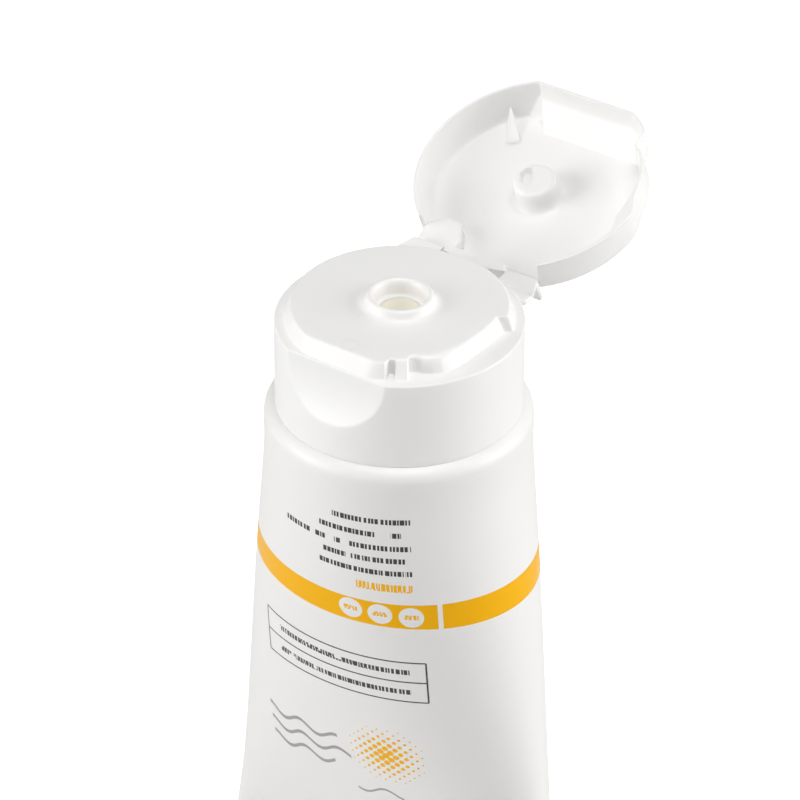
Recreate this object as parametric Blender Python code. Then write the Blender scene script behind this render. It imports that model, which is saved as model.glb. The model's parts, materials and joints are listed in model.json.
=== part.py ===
"""Squeeze tube with a flip-top cap, for a cream such as sunscreen.

The tube stands cap upwards with its axis along Z, and its origin at the middle of the crimp's bottom edge.
The front of the cap, with its thumb recess, faces -Y, and the lid hangs open behind, towards +Y.
All sizes are in metres. Heights on the cap are measured from its ledge, where base and lid part.
"""

import math

import bmesh
import bpy
import numpy as np

# Clearances
FIT_GAP = 0.0003
OVERRUN = 0.0010
JOIN = 0.0003

# Sleeve
SLEEVE_RADIUS = 0.0200
SLEEVE_WALL = 0.0005
SLEEVE_TAPER_LENGTH = 0.0896
SLEEVE_ROUND_LENGTH = 0.0036
SHOULDER_EDGE_RADIUS = 0.0022
CRIMP_HEIGHT = 0.0060
CRIMP_THICKNESS = 0.0011
SEAL_SLOT = 0.0001
TAPER_EASE_SHARE = 0.035
SQUARED_SHARE = 0.8
SEAL_SHARE = 0.995

# Head of the tube
HEAD_SKIRT_LENGTH = 0.0022
HEAD_SKIRT_WALL = 0.0010
HEAD_WALL = 0.0012
HEAD_CONE_RISE = 0.0034
NECK_RADIUS = 0.0085
NECK_BORE_RADIUS = 0.0065
NECK_TOP_DROP = 0.0008
NECK_BEAD_HEIGHT = 0.0005
NECK_BEAD_WIDTH = 0.0008
NECK_BEAD_DROP = 0.0038

# Cap, both halves: the cap is a little narrower than the sleeve, and its front is cut flat
CAP_STEP = 0.00163
CAP_RADIUS = SLEEVE_RADIUS - CAP_STEP
CAP_FLAT_DEPTH = 0.00207
CAP_FLAT_DISTANCE = CAP_RADIUS - CAP_FLAT_DEPTH
CAP_EDGE_BEVEL = 0.0003

# Cap base
SKIRT_HEIGHT = 0.0136
SKIRT_WALL = 0.00147
LEDGE_THICKNESS = 0.0016
SCOOP_RADIUS = 0.01885
SCOOP_WALL = 0.0010
DECK_HEIGHT = 0.0025
DECK_MARGIN = 0.00117
DECK_RADIUS = CAP_RADIUS - DECK_MARGIN
DECK_FRONT_MARGIN = 0.0007
DECK_FOOT_FLAT = CAP_FLAT_DISTANCE - DECK_FRONT_MARGIN
DECK_FRONT_SLANT = 0.00075
DECK_BACK_MARGIN = 0.0010
DECK_EDGE_ROUND = 0.00035
DECK_PLATE = 0.0013
DECK_POCKET_MARGIN = 0.0042
DECK_POCKET_RADIUS = DECK_RADIUS - DECK_POCKET_MARGIN
MARK_RADIUS = 0.00125
MARK_LINE = 0.00025
MARK_DEPTH = 0.00012
MARK_MARGIN = 0.00235
MARK_OFFSET = 0.0005
BOSS_FOOT_RADIUS = 0.0063
LIP_OUTER_RADIUS = 0.00505
LIP_HEIGHT = 0.00405
MOUTH_RADIUS = 0.0039
THROAT_RADIUS = 0.0036
BORE_RADIUS = 0.0031
STUB_RADIUS = NECK_BORE_RADIUS - FIT_GAP
STUB_WALL = 0.0010
STUB_LENGTH = 0.0040
COLLAR_INNER_RADIUS = 0.0093
COLLAR_WALL = 0.0011
COLLAR_LENGTH = 0.0062
COLLAR_BEAD_WIDTH = 0.0006
RIB_THICKNESS = 0.0010
RIB_DEPTH = 0.0036
RIB_COUNT = 4

# Lid: its wall is thin at the rim and thickens inwards. Between two angles from the front it is thin all the way
# up, and between two others, on the right, its rim is set back and its outside slopes out from there.
LID_HEIGHT = 0.00705
LID_WALL = 0.00195
LID_RIM_WALL = 0.00085
LID_FRONT_WALL = 0.0010
LID_LIP_WALL = 0.0005
LID_CHAMFER_HEIGHT = 0.0023
LID_FRONT_SPAN = (-28, 46)
LID_SETBACK_SPAN = (46, 109)
LID_SETBACK = 0.0013
LID_TOP_THICKNESS = 0.00115
PLUG_RADIUS = 0.0033
PLUG_FOOT_RADIUS = 0.0046
PLUG_TIP_HEIGHT = 0.0020
PLUG_HOLLOW_DEPTH = 0.0024
FIN_THICKNESS = 0.0010
FIN_LENGTH = 0.0048
FIN_RISE = 0.0028
FIN_ANGLE = -47
KEY_THICKNESS = 0.0008
KEY_REACH = 0.0012
KEY_ANGLE = 103
KEY_FOOT = 0.0014

# Hinge: the sides of its straps are shares of the cap's radius
LID_OPENING = 158
FILM_MARGIN = 0.00107
FILM_SETBACK = CAP_RADIUS - FILM_MARGIN
FILM_SPACING = 0.0026
HINGE_HEIGHT = 0.0004
STRAP_THICKNESS = 0.0007
STRAP_INNER_SHARE = 0.31
STRAP_FOOT_OUTER_SHARE = 0.653
STRAP_TOP_OUTER_SHARE = 0.599
EAR_THICKNESS = 0.0010
BASE_EAR_ROOT = 0.0017
LID_EAR_ROOT = 0.0003
EAR_SIDE_MARGIN = 0.0003
HINGE_SLOT_DEPTH = 0.0014
HINGE_SLOT_DISTANCE = FILM_SETBACK - HINGE_SLOT_DEPTH
HINGE_SLOT_ROOM = 0.0007

# Cream
CREAM_GAP = 0.0003
CREAM_END_SHARE = 0.96
CREAM_TOP_DROP = 0.0012

# Counts round each piece
SLEEVE_SEGMENTS = 56
CAP_SEGMENTS = 64
INNER_SEGMENTS = 48
BORE_SEGMENTS = 40

# Heights of the whole tube
TAPER_TOP = CRIMP_HEIGHT + SLEEVE_TAPER_LENGTH
SLEEVE_TOP = TAPER_TOP + SLEEVE_ROUND_LENGTH + SHOULDER_EDGE_RADIUS
LEDGE_LEVEL = SLEEVE_TOP + FIT_GAP + SKIRT_HEIGHT

# The deck's outline as the real one bulges and steps: angle from the front towards +X, then the reach of its
# foot and of its top edge as shares of DECK_RADIUS. A groove, a catch and a cut-back side lie right of the front.
DECK_OUTLINE_SHARES = [
    (0, 1.0, 0.965), (25, 1.0, 0.965), (28, 0.875, 0.868), (31.6, 0.875, 0.868), (32.2, 0.98, 0.868),
    (38.2, 0.98, 0.868), (39.3, 0.85, 0.83), (44, 0.865, 0.83), (48, 0.91, 0.86), (54, 0.935, 0.87),
    (62, 0.92, 0.852), (70, 0.893, 0.832), (80, 0.865, 0.814), (88, 0.85, 0.808), (98, 0.865, 0.817),
    (107, 0.90, 0.837), (110.2, 0.905, 0.843), (111.8, 1.0, 0.933), (330, 1.0, 0.933), (335, 1.0, 0.965),
    (360, 1.0, 0.965),
]

# The deck's edge, ring by ring: share of its height, share of the way from foot to top, share of its rounding
DECK_EDGE_SHARES = [(-0.3, 0.0, 0.0), (0.0, 0.0, 0.0), (0.82, 0.82, 0.0), (0.95, 0.95, 0.3), (1.0, 1.0, 1.0)]

# Heights and inward steps of the lid's outside and inside, as shares of LID_HEIGHT and of CAP_RADIUS
LID_OUTSIDE_SHARES = [
    (0.0, 0.0, 0.0), (0.35, 0.004, 0.012), (0.66, 0.010, 0.075), (0.79, 0.022, 0.112),
    (0.90, 0.045, 0.150), (0.97, 0.080, 0.190), (1.0, 0.125, 0.235),
]
LID_INSIDE_SHARES = [
    (0.0, 0.0, 0.0), (0.33, 0.004, 0.024), (0.62, 0.010, 0.130), (0.76, 0.022, 0.190), (0.84, 0.055, 0.245),
]
LID_CEILING_SHARE = 0.84

# The off-centre hollow in the plug's tip, as shares of PLUG_RADIUS
PLUG_HOLLOW_SHARES = [(-0.59, 0.35), (0.0, 0.47), (-0.12, -0.16), (-0.46, -0.65), (-0.75, -0.44), (-0.85, -0.10)]

# The spout's outside: share of its rise above the deck, share of the spread from lip to foot
SPOUT_SHARES = [
    (0.02, 1.0), (0.14, 0.45), (0.36, 0.15), (0.66, 0.0), (0.88, -0.12), (1.0, -0.34),
]

# Rings down the taper, from the round shoulder to the crimp, and down the skirt's hollow
TAPER_SHARES = [0.0, 0.06, 0.13, 0.25, 0.38, 0.50, 0.61, 0.71, 0.80, 0.87, 0.93, 0.97, 1.0]
HOLLOW_SHARES = [0.28, 0.45, 0.60, 1.0]


def clear_scene():
    for obj in list(bpy.data.objects):
        bpy.data.objects.remove(obj, do_unlink=True)


def plastic(name, colour, roughness):
    material = bpy.data.materials.new(name)
    material.use_nodes = True
    shader = material.node_tree.nodes["Principled BSDF"]
    shader.inputs["Base Color"].default_value = (*colour, 1.0)
    shader.inputs["Roughness"].default_value = roughness
    shader.inputs["Metallic"].default_value = 0.0
    return material


def object_from(bm, name, parent=None, material=None):
    """A mesh object with outward faces, smooth except at its sharp edges."""
    bmesh.ops.recalc_face_normals(bm, faces=bm.faces)
    mesh = bpy.data.meshes.new(name)
    bm.to_mesh(mesh)
    bm.free()
    mesh.shade_smooth()
    mesh.set_sharp_from_angle(angle=math.radians(35))
    obj = bpy.data.objects.new(name, mesh)
    bpy.context.scene.collection.objects.link(obj)
    obj.parent = parent
    if material:
        mesh.materials.append(material)
    return obj


def as_helper(obj):
    obj.hide_render = True
    obj.display_type = "WIRE"
    return obj


def combine(obj, helper, operation):
    modifier = obj.modifiers.new(f"{operation.lower()} {helper.name}", "BOOLEAN")
    modifier.operation = operation
    modifier.object = as_helper(helper)


def loft(rings, name, closed=False, parent=None, material=None):
    """Skins equal rings of points. A closed loft joins its last ring to its first, an open one fills both ends."""
    bm = bmesh.new()
    rows = [[bm.verts.new(point) for point in ring] for ring in rings]
    pairs = list(zip(rows, rows[1:]))
    if closed:
        pairs.append((rows[-1], rows[0]))
    for low, high in pairs:
        for i in range(len(low)):
            j = (i + 1) % len(low)
            bm.faces.new((low[i], low[j], high[j], high[i]))
    if not closed:
        bm.faces.new(rows[0])
        bm.faces.new(rows[-1])
    return object_from(bm, name, parent, material)


def circle(radius, height, segments):
    angles = np.linspace(0, 2 * math.pi, segments, endpoint=False)
    return [(radius * math.cos(a), radius * math.sin(a), height) for a in angles]


def turned(profile, name, segments, closed=False, parent=None, material=None):
    """A turned piece from (radius, height) points, solid to its axis unless the profile is closed."""
    return loft([circle(r, z, segments) for r, z in profile], name, closed, parent, material)


def prism(outline, low, high, name, parent=None):
    """An outline of (x, y) points, raised from one height to another."""
    rings = [[(x, y, z) for x, y in outline] for z in (low, high)]
    return loft(rings, name, parent=parent)


def flat_sided(radius, flat, corner, height):
    """A circle with one flat side towards -Y, its corners rounded, as points that match from ring to ring."""
    reach = math.sqrt((radius - corner) ** 2 - (flat - corner) ** 2)
    turn = math.atan2(flat - corner, reach)
    half_pi = math.pi / 2
    points = []
    for x in np.linspace(-reach, reach, 7)[1:-1]:
        points.append((x, flat))
    for a in np.linspace(half_pi, turn, 5):
        points.append((reach + corner * math.cos(a), flat - corner + corner * math.sin(a)))
    for a in np.linspace(turn, -math.pi - turn, CAP_SEGMENTS - len(points) - 3)[1:-1]:
        points.append((radius * math.cos(a), radius * math.sin(a)))
    for a in np.linspace(math.pi - turn, half_pi, 5):
        points.append((-reach + corner * math.cos(a), flat - corner + corner * math.sin(a)))
    return [(x, -n, height) for x, n in points]


def polar_outline(limits, height, angles):
    """A ring whose reach at each angle from the front is the least of the limits given as functions."""
    points = []
    for a in angles:
        reach = min(limit(a) for limit in limits)
        points.append((reach * math.sin(a), -reach * math.cos(a), height))
    return points


def even_angles(segments):
    return np.linspace(0, 2 * math.pi, segments, endpoint=False)


def flat_limit(distance, towards=1):
    """The reach to a flat side at a distance, in front or, towards -1, behind."""
    def limit(a):
        along = math.cos(a) * towards
        return distance / along if along > 0.1 else math.inf
    return limit


def section_size(share, inset):
    """Half width, half depth and squareness of the sleeve's oval. The girth stays nearly the same all the way,
    so the width grows to a quarter of the girth as the depth closes on the crimp. Its growth is eased where the
    taper starts, and the oval squares up near the crimp. Inset is measured inwards."""
    start, end = TAPER_EASE_SHARE, math.hypot(1, TAPER_EASE_SHARE)
    eased = (math.hypot(share, start) - start) / (end - start)
    width = SLEEVE_RADIUS * (1 + (math.pi / 2 - 1) * eased)
    depth = SLEEVE_RADIUS * (1 - share ** 2) + CRIMP_THICKNESS / 2 * share ** 2
    squareness = 1 - max(0.0, (share - SQUARED_SHARE) / (1 - SQUARED_SHARE)) ** 2
    return width - inset, max(depth - inset, SEAL_SLOT / 2), squareness


def sleeve_ring(share, height, inset=0.0, segments=SLEEVE_SEGMENTS):
    width, depth, squareness = section_size(share, inset)
    points = []
    for a in np.linspace(0, 2 * math.pi, segments, endpoint=False):
        across = math.sin(a) if abs(math.sin(a)) > 1e-9 else 0.0
        y = depth * math.copysign(abs(across) ** squareness, across) if across else 0.0
        points.append((width * math.cos(a), y, height))
    return points


def taper_height(share):
    return TAPER_TOP - SLEEVE_TAPER_LENGTH * share


def edge_rings(radius, inset, steps):
    """The rounded shoulder edge, from the tube's side up to its top, as rings."""
    centre_radius = SLEEVE_RADIUS - SHOULDER_EDGE_RADIUS
    centre_height = SLEEVE_TOP - SHOULDER_EDGE_RADIUS
    rings = []
    for a in np.linspace(0, math.pi / 2, steps):
        r = centre_radius + (radius - inset) * math.cos(a)
        z = centre_height + (radius - inset) * math.sin(a)
        rings.append(circle(r, z, SLEEVE_SEGMENTS))
    return rings


def build_sleeve(material):
    """One skin: down the outside, across the crimp, and up the inside to the turned-in edge."""
    outside = edge_rings(SHOULDER_EDGE_RADIUS, 0.0, 5)[::-1]
    outside += [sleeve_ring(s, taper_height(s)) for s in TAPER_SHARES]
    outside.append(sleeve_ring(1.0, 0.0))
    inside = [sleeve_ring(s, taper_height(s), SLEEVE_WALL) for s in TAPER_SHARES[:-1] + [SEAL_SHARE]]
    inside_edge = edge_rings(SHOULDER_EDGE_RADIUS, SLEEVE_WALL, 5)
    inner = (inside_edge[::-1] + inside)[::-1]
    bm = bmesh.new()
    outer_rows = [[bm.verts.new(p) for p in ring] for ring in outside]
    inner_rows = [[bm.verts.new(p) for p in ring] for ring in inner]
    rows = outer_rows[::-1]
    for group in (rows, inner_rows):
        for low, high in zip(group, group[1:]):
            for i in range(SLEEVE_SEGMENTS):
                j = (i + 1) % SLEEVE_SEGMENTS
                bm.faces.new((low[i], low[j], high[j], high[i]))
    for i in range(SLEEVE_SEGMENTS):
        j = (i + 1) % SLEEVE_SEGMENTS
        bm.faces.new((rows[-1][i], rows[-1][j], inner_rows[-1][j], inner_rows[-1][i]))
    bm.faces.new(rows[0])
    bm.faces.new(inner_rows[0])
    return object_from(bm, "tube_sleeve", material=material)


def build_cream(material):
    """The filling, from near the crimp up through the head and into the cap's sealing stub."""
    inset = SLEEVE_WALL + CREAM_GAP
    shares = [CREAM_END_SHARE * s for s in TAPER_SHARES][::-1]
    rings = [sleeve_ring(s, taper_height(s), inset, INNER_SEGMENTS) for s in shares]
    side, cone_foot, cone_top = head_sizes()
    edge_level = SLEEVE_TOP - SHOULDER_EDGE_RADIUS
    neck = NECK_BORE_RADIUS - CREAM_GAP
    stub = STUB_RADIUS - STUB_WALL - CREAM_GAP
    stub_tip = LEDGE_LEVEL - STUB_LENGTH
    profile = [
        (side - HEAD_SKIRT_WALL - CREAM_GAP, edge_level - HEAD_SKIRT_LENGTH - CREAM_GAP),
        (side - HEAD_SKIRT_WALL - CREAM_GAP, edge_level - CREAM_GAP),
        (cone_foot - HEAD_SKIRT_WALL - CREAM_GAP, edge_level - CREAM_GAP),
        (neck, cone_top - HEAD_WALL - CREAM_GAP),
        (neck, stub_tip - CREAM_GAP),
        (stub, stub_tip - CREAM_GAP),
        (stub, LEDGE_LEVEL - CREAM_TOP_DROP),
    ]
    rings += [circle(r, z, INNER_SEGMENTS) for r, z in profile]
    return loft(rings, "cream_fill", material=material)


def head_sizes():
    """The head's outer radius inside the sleeve, and the radius and the height where its cone starts and ends."""
    side = SLEEVE_RADIUS - SLEEVE_WALL - FIT_GAP
    return side, CAP_RADIUS - SKIRT_WALL, SLEEVE_TOP + HEAD_CONE_RISE


def build_head(material):
    """The moulded head: a short skirt inside the sleeve, a cone, and the neck with its snap bead."""
    edge = SHOULDER_EDGE_RADIUS - SLEEVE_WALL - FIT_GAP
    edge_centre = SLEEVE_RADIUS - SHOULDER_EDGE_RADIUS
    edge_level = SLEEVE_TOP - SHOULDER_EDGE_RADIUS
    side, cone_foot, cone_top = head_sizes()
    step = edge_centre - FIT_GAP
    neck_top = LEDGE_LEVEL - NECK_TOP_DROP
    bead_top = LEDGE_LEVEL - NECK_BEAD_DROP
    bead = NECK_RADIUS + NECK_BEAD_HEIGHT
    profile = [(side, edge_level - HEAD_SKIRT_LENGTH)]
    for a in np.linspace(0, math.pi / 2, 4):
        profile.append((edge_centre + edge * math.cos(a), edge_level + edge * math.sin(a)))
    profile += [
        (step, edge_level + edge),
        (step, SLEEVE_TOP),
        (cone_foot - FIT_GAP, SLEEVE_TOP),
        (NECK_RADIUS + NECK_BEAD_WIDTH, cone_top),
        (NECK_RADIUS, cone_top + NECK_BEAD_WIDTH),
        (NECK_RADIUS, bead_top - 2 * NECK_BEAD_WIDTH),
        (bead, bead_top - NECK_BEAD_WIDTH),
        (NECK_RADIUS, bead_top),
        (NECK_RADIUS, neck_top - NECK_BEAD_HEIGHT),
        (NECK_RADIUS - NECK_BEAD_HEIGHT, neck_top),
        (NECK_BORE_RADIUS, neck_top),
        (NECK_BORE_RADIUS, cone_top - HEAD_WALL),
        (cone_foot - HEAD_SKIRT_WALL, edge_level),
        (side - HEAD_SKIRT_WALL, edge_level),
        (side - HEAD_SKIRT_WALL, edge_level - HEAD_SKIRT_LENGTH),
    ]
    return turned(profile, "tube_shoulder", INNER_SEGMENTS, closed=True, material=material)


def deck_reach(a, way):
    """The deck's reach at an angle, at a share of the way from its foot to its top edge."""
    angles, feet, tops = zip(*DECK_OUTLINE_SHARES)
    foot, top = (float(np.interp(math.degrees(a), angles, shares)) for shares in (feet, tops))
    return DECK_RADIUS * (foot + (top - foot) * way)


def deck_angles():
    """The angles of the outline's own corners, and even ones between them."""
    corners = {round(float(row[0]), 1) for row in DECK_OUTLINE_SHARES[:-1]}
    between = {round(float(a), 1) for a in np.linspace(0, 360, CAP_SEGMENTS, endpoint=False)}
    return np.radians(sorted(corners | {a for a in between if min(abs(a - c) for c in corners) > 1.5}))


def scoop_front(height):
    """How far forward the thumb recess lies at a height below the ledge."""
    return CAP_FLAT_DISTANCE + SCOOP_RADIUS - math.sqrt(SCOOP_RADIUS ** 2 - height ** 2)


def build_deck(parent):
    """The raised deck: slanted sides that follow its outline, then a soft edge."""
    rings = []
    for height_share, way, round_share in DECK_EDGE_SHARES:
        inset = DECK_EDGE_ROUND * round_share
        front = DECK_FOOT_FLAT - DECK_FRONT_SLANT * way - inset
        back = HINGE_SLOT_DISTANCE - DECK_BACK_MARGIN - inset
        limits = [lambda a: deck_reach(a, way) - inset, flat_limit(front), flat_limit(back, -1)]
        rings.append(polar_outline(limits, DECK_HEIGHT * height_share, deck_angles()))
    return loft(rings, "deck", parent=parent)


def build_skirt_hollow(parent):
    """The hollow under the ledge. It keeps a wall behind the thumb recess and in front of the hinge."""
    inner = CAP_RADIUS - SKIRT_WALL
    hinge_floor = film_height(-1) - EAR_THICKNESS / 2 - HINGE_SLOT_ROOM
    shallow = hinge_floor - SCOOP_WALL
    rings = []
    for height in np.linspace(-LEDGE_THICKNESS, shallow, 2).tolist():
        limits = [lambda a: inner, flat_limit(scoop_front(height) - SCOOP_WALL)]
        limits.append(flat_limit(HINGE_SLOT_DISTANCE - SCOOP_WALL, -1))
        rings.append(polar_outline(limits, height, even_angles(CAP_SEGMENTS)))
    for share in HOLLOW_SHARES:
        height = -(SKIRT_HEIGHT + OVERRUN) * share
        limits = [lambda a: inner, flat_limit(scoop_front(height) - SCOOP_WALL)]
        rings.append(polar_outline(limits, height, even_angles(CAP_SEGMENTS)))
    return loft(rings, "skirt_hollow", parent=parent)


def build_inner_tubes(parent):
    """The sealing stub that enters the neck, and the collar that snaps under the neck's bead."""
    root = DECK_HEIGHT - DECK_PLATE + JOIN
    stub = [
        (STUB_RADIUS, root),
        (STUB_RADIUS, STUB_WALL / 2 - STUB_LENGTH),
        (STUB_RADIUS - STUB_WALL / 2, -STUB_LENGTH),
        (STUB_RADIUS - STUB_WALL, -STUB_LENGTH),
        (STUB_RADIUS - STUB_WALL, root),
    ]
    bead = NECK_RADIUS + FIT_GAP
    outer = COLLAR_INNER_RADIUS + COLLAR_WALL
    collar = [
        (outer, root),
        (outer, -COLLAR_LENGTH),
        (COLLAR_INNER_RADIUS, -COLLAR_LENGTH),
        (bead, COLLAR_BEAD_WIDTH / 2 - COLLAR_LENGTH),
        (COLLAR_INNER_RADIUS, COLLAR_BEAD_WIDTH - COLLAR_LENGTH),
        (COLLAR_INNER_RADIUS, root),
    ]
    return [
        turned(stub, "seal_stub", BORE_SEGMENTS, closed=True, parent=parent),
        turned(collar, "snap_collar", INNER_SEGMENTS, closed=True, parent=parent),
    ]


def build_rib(index, parent):
    """A radial rib between the collar and the skirt, under the ledge."""
    angle = 2 * math.pi * (index + 0.5) / RIB_COUNT
    inner = COLLAR_INNER_RADIUS + COLLAR_WALL - JOIN
    outer = CAP_RADIUS - SKIRT_WALL + JOIN
    half = RIB_THICKNESS / 2
    outline = []
    for along, side in ((inner, -half), (outer, -half), (outer, half), (inner, half)):
        x = along * math.cos(angle) - side * math.sin(angle)
        y = along * math.sin(angle) + side * math.cos(angle)
        outline.append((x, y))
    return prism(outline, -LEDGE_THICKNESS - RIB_DEPTH, -LEDGE_THICKNESS + JOIN, f"rib_{index + 1}", parent)


def build_spout(parent):
    """The raised lip round the mouth, with a soft foot."""
    rise = LIP_HEIGHT - DECK_HEIGHT
    spread = BOSS_FOOT_RADIUS - LIP_OUTER_RADIUS
    profile = [(BOSS_FOOT_RADIUS, DECK_HEIGHT - JOIN)]
    for rise_share, spread_share in SPOUT_SHARES:
        profile.append((LIP_OUTER_RADIUS + spread_share * spread, DECK_HEIGHT + rise_share * rise))
    return turned(profile, "spout", CAP_SEGMENTS, parent=parent)


def build_bore(parent):
    """The way out: a flared mouth, a throat that takes the plug, and the orifice."""
    lip_room = (LIP_OUTER_RADIUS - MOUTH_RADIUS) / 2
    profile = [
        (MOUTH_RADIUS + lip_room, LIP_HEIGHT + lip_room),
        (MOUTH_RADIUS + lip_room / 2, LIP_HEIGHT - lip_room / 4),
        (MOUTH_RADIUS, LIP_HEIGHT - lip_room),
        (THROAT_RADIUS, PLUG_TIP_HEIGHT - FIT_GAP),
        (BORE_RADIUS, PLUG_TIP_HEIGHT - FIT_GAP - (THROAT_RADIUS - BORE_RADIUS)),
        (BORE_RADIUS, DECK_HEIGHT - DECK_PLATE - OVERRUN),
    ]
    return turned(profile, "spout_bore", BORE_SEGMENTS, parent=parent)


def build_scoop(parent):
    """The cylinder that cuts the thumb recess. Its axis lies level, in front of the cap."""
    bm = bmesh.new()
    bmesh.ops.create_cone(
        bm, cap_ends=True, segments=2 * CAP_SEGMENTS, radius1=SCOOP_RADIUS, radius2=SCOOP_RADIUS,
        depth=2 * CAP_RADIUS,
    )
    scoop = object_from(bm, "thumb_scoop", parent)
    scoop.rotation_euler = (0, math.pi / 2, 0)
    scoop.location = (0, -CAP_FLAT_DISTANCE - SCOOP_RADIUS, 0)
    return scoop


def film_height(side):
    """The height of the lower film line, side -1, or of the upper, side 1, on the closed cap."""
    return HINGE_HEIGHT + side * FILM_SPACING / 2


def build_ears(outer_side, root_depth, wall, height, name, parent, shift):
    """Two flat ears that reach out to a film line, rooted a little way in front of the slot behind the cap."""
    reach = FILM_SETBACK - STRAP_THICKNESS / 2 - FIT_GAP
    inner = STRAP_INNER_SHARE * CAP_RADIUS - EAR_SIDE_MARGIN
    outer = outer_side + EAR_SIDE_MARGIN
    root = HINGE_SLOT_DISTANCE - root_depth
    corner = math.sqrt((CAP_RADIUS - wall / 2) ** 2 - outer ** 2)
    ears = []
    for side, word in ((-1, "left"), (1, "right")):
        outline = [(inner, root), (outer, min(root, corner)), (outer, reach), (inner, reach)]
        outline = [(side * x + shift[0], y + shift[1]) for x, y in outline]
        low = height - EAR_THICKNESS / 2 + shift[2]
        ears.append(prism(outline, low, low + EAR_THICKNESS, f"{name}_{word}", parent))
    return ears


def build_hinge_slot(low, high, name, parent, shift):
    """The opening behind each half of the cap, which leaves the straps room to turn."""
    half = STRAP_FOOT_OUTER_SHARE * CAP_RADIUS + 2 * EAR_SIDE_MARGIN
    near = HINGE_SLOT_DISTANCE
    far = CAP_RADIUS + OVERRUN
    outline = [(-half, near), (half, near), (half, far), (-half, far)]
    outline = [(x + shift[0], y + shift[1]) for x, y in outline]
    return prism(outline, low + shift[2], high + shift[2], name, parent)


def build_mark(parent):
    """The small ring that the mould leaves in front of the spout."""
    outer = MARK_RADIUS + MARK_LINE / 2
    inner = MARK_RADIUS - MARK_LINE / 2
    top = DECK_HEIGHT + OVERRUN
    floor = DECK_HEIGHT - MARK_DEPTH
    profile = [(outer, floor), (outer, top), (inner, top), (inner, floor)]
    mark = turned(profile, "mould_mark", BORE_SEGMENTS // 2, closed=True, parent=parent)
    mark.location = (MARK_OFFSET, MARK_MARGIN - DECK_FOOT_FLAT, 0)
    return mark


def build_cap_base(parent, material):
    bevel = CAP_EDGE_BEVEL
    profile = [
        (CAP_RADIUS - bevel, 0.0),
        (CAP_RADIUS, -bevel),
        (CAP_RADIUS, bevel - SKIRT_HEIGHT),
        (CAP_RADIUS - bevel, -SKIRT_HEIGHT),
    ]
    base = turned(profile, "cap_base", CAP_SEGMENTS, parent=parent, material=material)
    combine(base, build_deck(parent), "UNION")
    combine(base, build_skirt_hollow(parent), "DIFFERENCE")
    pocket_top = DECK_HEIGHT - DECK_PLATE
    pocket = [(DECK_POCKET_RADIUS, -LEDGE_THICKNESS - JOIN), (DECK_POCKET_RADIUS, pocket_top)]
    combine(base, turned(pocket, "deck_pocket", INNER_SEGMENTS, parent=parent), "DIFFERENCE")
    for tube in build_inner_tubes(parent):
        combine(base, tube, "UNION")
    for index in range(RIB_COUNT):
        combine(base, build_rib(index, parent), "UNION")
    combine(base, build_spout(parent), "UNION")
    combine(base, build_bore(parent), "DIFFERENCE")
    combine(base, build_scoop(parent), "DIFFERENCE")
    floor = film_height(-1) - EAR_THICKNESS / 2 - HINGE_SLOT_ROOM
    combine(base, build_hinge_slot(floor, DECK_HEIGHT + OVERRUN, "base_hinge_slot", parent, (0, 0, 0)), "DIFFERENCE")
    outer = STRAP_FOOT_OUTER_SHARE * CAP_RADIUS
    for ear in build_ears(outer, BASE_EAR_ROOT, SKIRT_WALL, film_height(-1), "base_ear", parent, (0, 0, 0)):
        combine(base, ear, "UNION")
    combine(base, build_mark(parent), "DIFFERENCE")
    return base


def within(a, span):
    return span[0] < math.degrees(a) < span[1]


def lid_inner_reach(a, height):
    """How far out the lid's inner wall lies. It slants in from the rim, but stays upright in front and on the
    right, where the rim is set back."""
    if within(a, LID_FRONT_SPAN):
        return CAP_RADIUS - LID_FRONT_WALL
    if within(a, LID_SETBACK_SPAN):
        return CAP_RADIUS - LID_WALL
    slant = min(1.0, (height - FIT_GAP) / (LID_CHAMFER_HEIGHT - FIT_GAP))
    return CAP_RADIUS - LID_RIM_WALL - (LID_WALL - LID_RIM_WALL) * slant


def lid_shell_rings(shift):
    """The lid's outside from top to rim, then its inside from rim to ceiling. Its front slopes like a visor."""
    rim = FIT_GAP
    outside = []
    for height_share, round_share, flat_share in LID_OUTSIDE_SHARES:
        radius = CAP_RADIUS * (1 - round_share)
        flat = CAP_FLAT_DISTANCE - CAP_RADIUS * flat_share
        height = rim + (LID_HEIGHT - rim) * height_share
        outside.append(flat_sided(radius, flat, CAP_EDGE_BEVEL * 2, height))
    angles = [math.atan2(x, -y) for x, y, z in outside[0]]
    for i, a in enumerate(angles):
        if within(a, LID_SETBACK_SPAN):
            reach = CAP_RADIUS - LID_SETBACK
            outside[0][i] = (reach * math.sin(a), -reach * math.cos(a), rim)
    inside = []
    for height_share, round_share, flat_share in LID_INSIDE_SHARES:
        ceiling = LID_HEIGHT - LID_TOP_THICKNESS
        height = rim + (ceiling - rim) * height_share / LID_CEILING_SHARE
        side = -CAP_RADIUS * round_share
        flat = CAP_FLAT_DISTANCE - CAP_RADIUS * flat_share - LID_LIP_WALL
        limits = [lambda a: lid_inner_reach(a, height) + side, flat_limit(flat)]
        inside.append(polar_outline(limits, height, angles))
    rings = outside[::-1] + inside
    return [[(x + shift[0], y + shift[1], z + shift[2]) for x, y, z in ring] for ring in rings]


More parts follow.
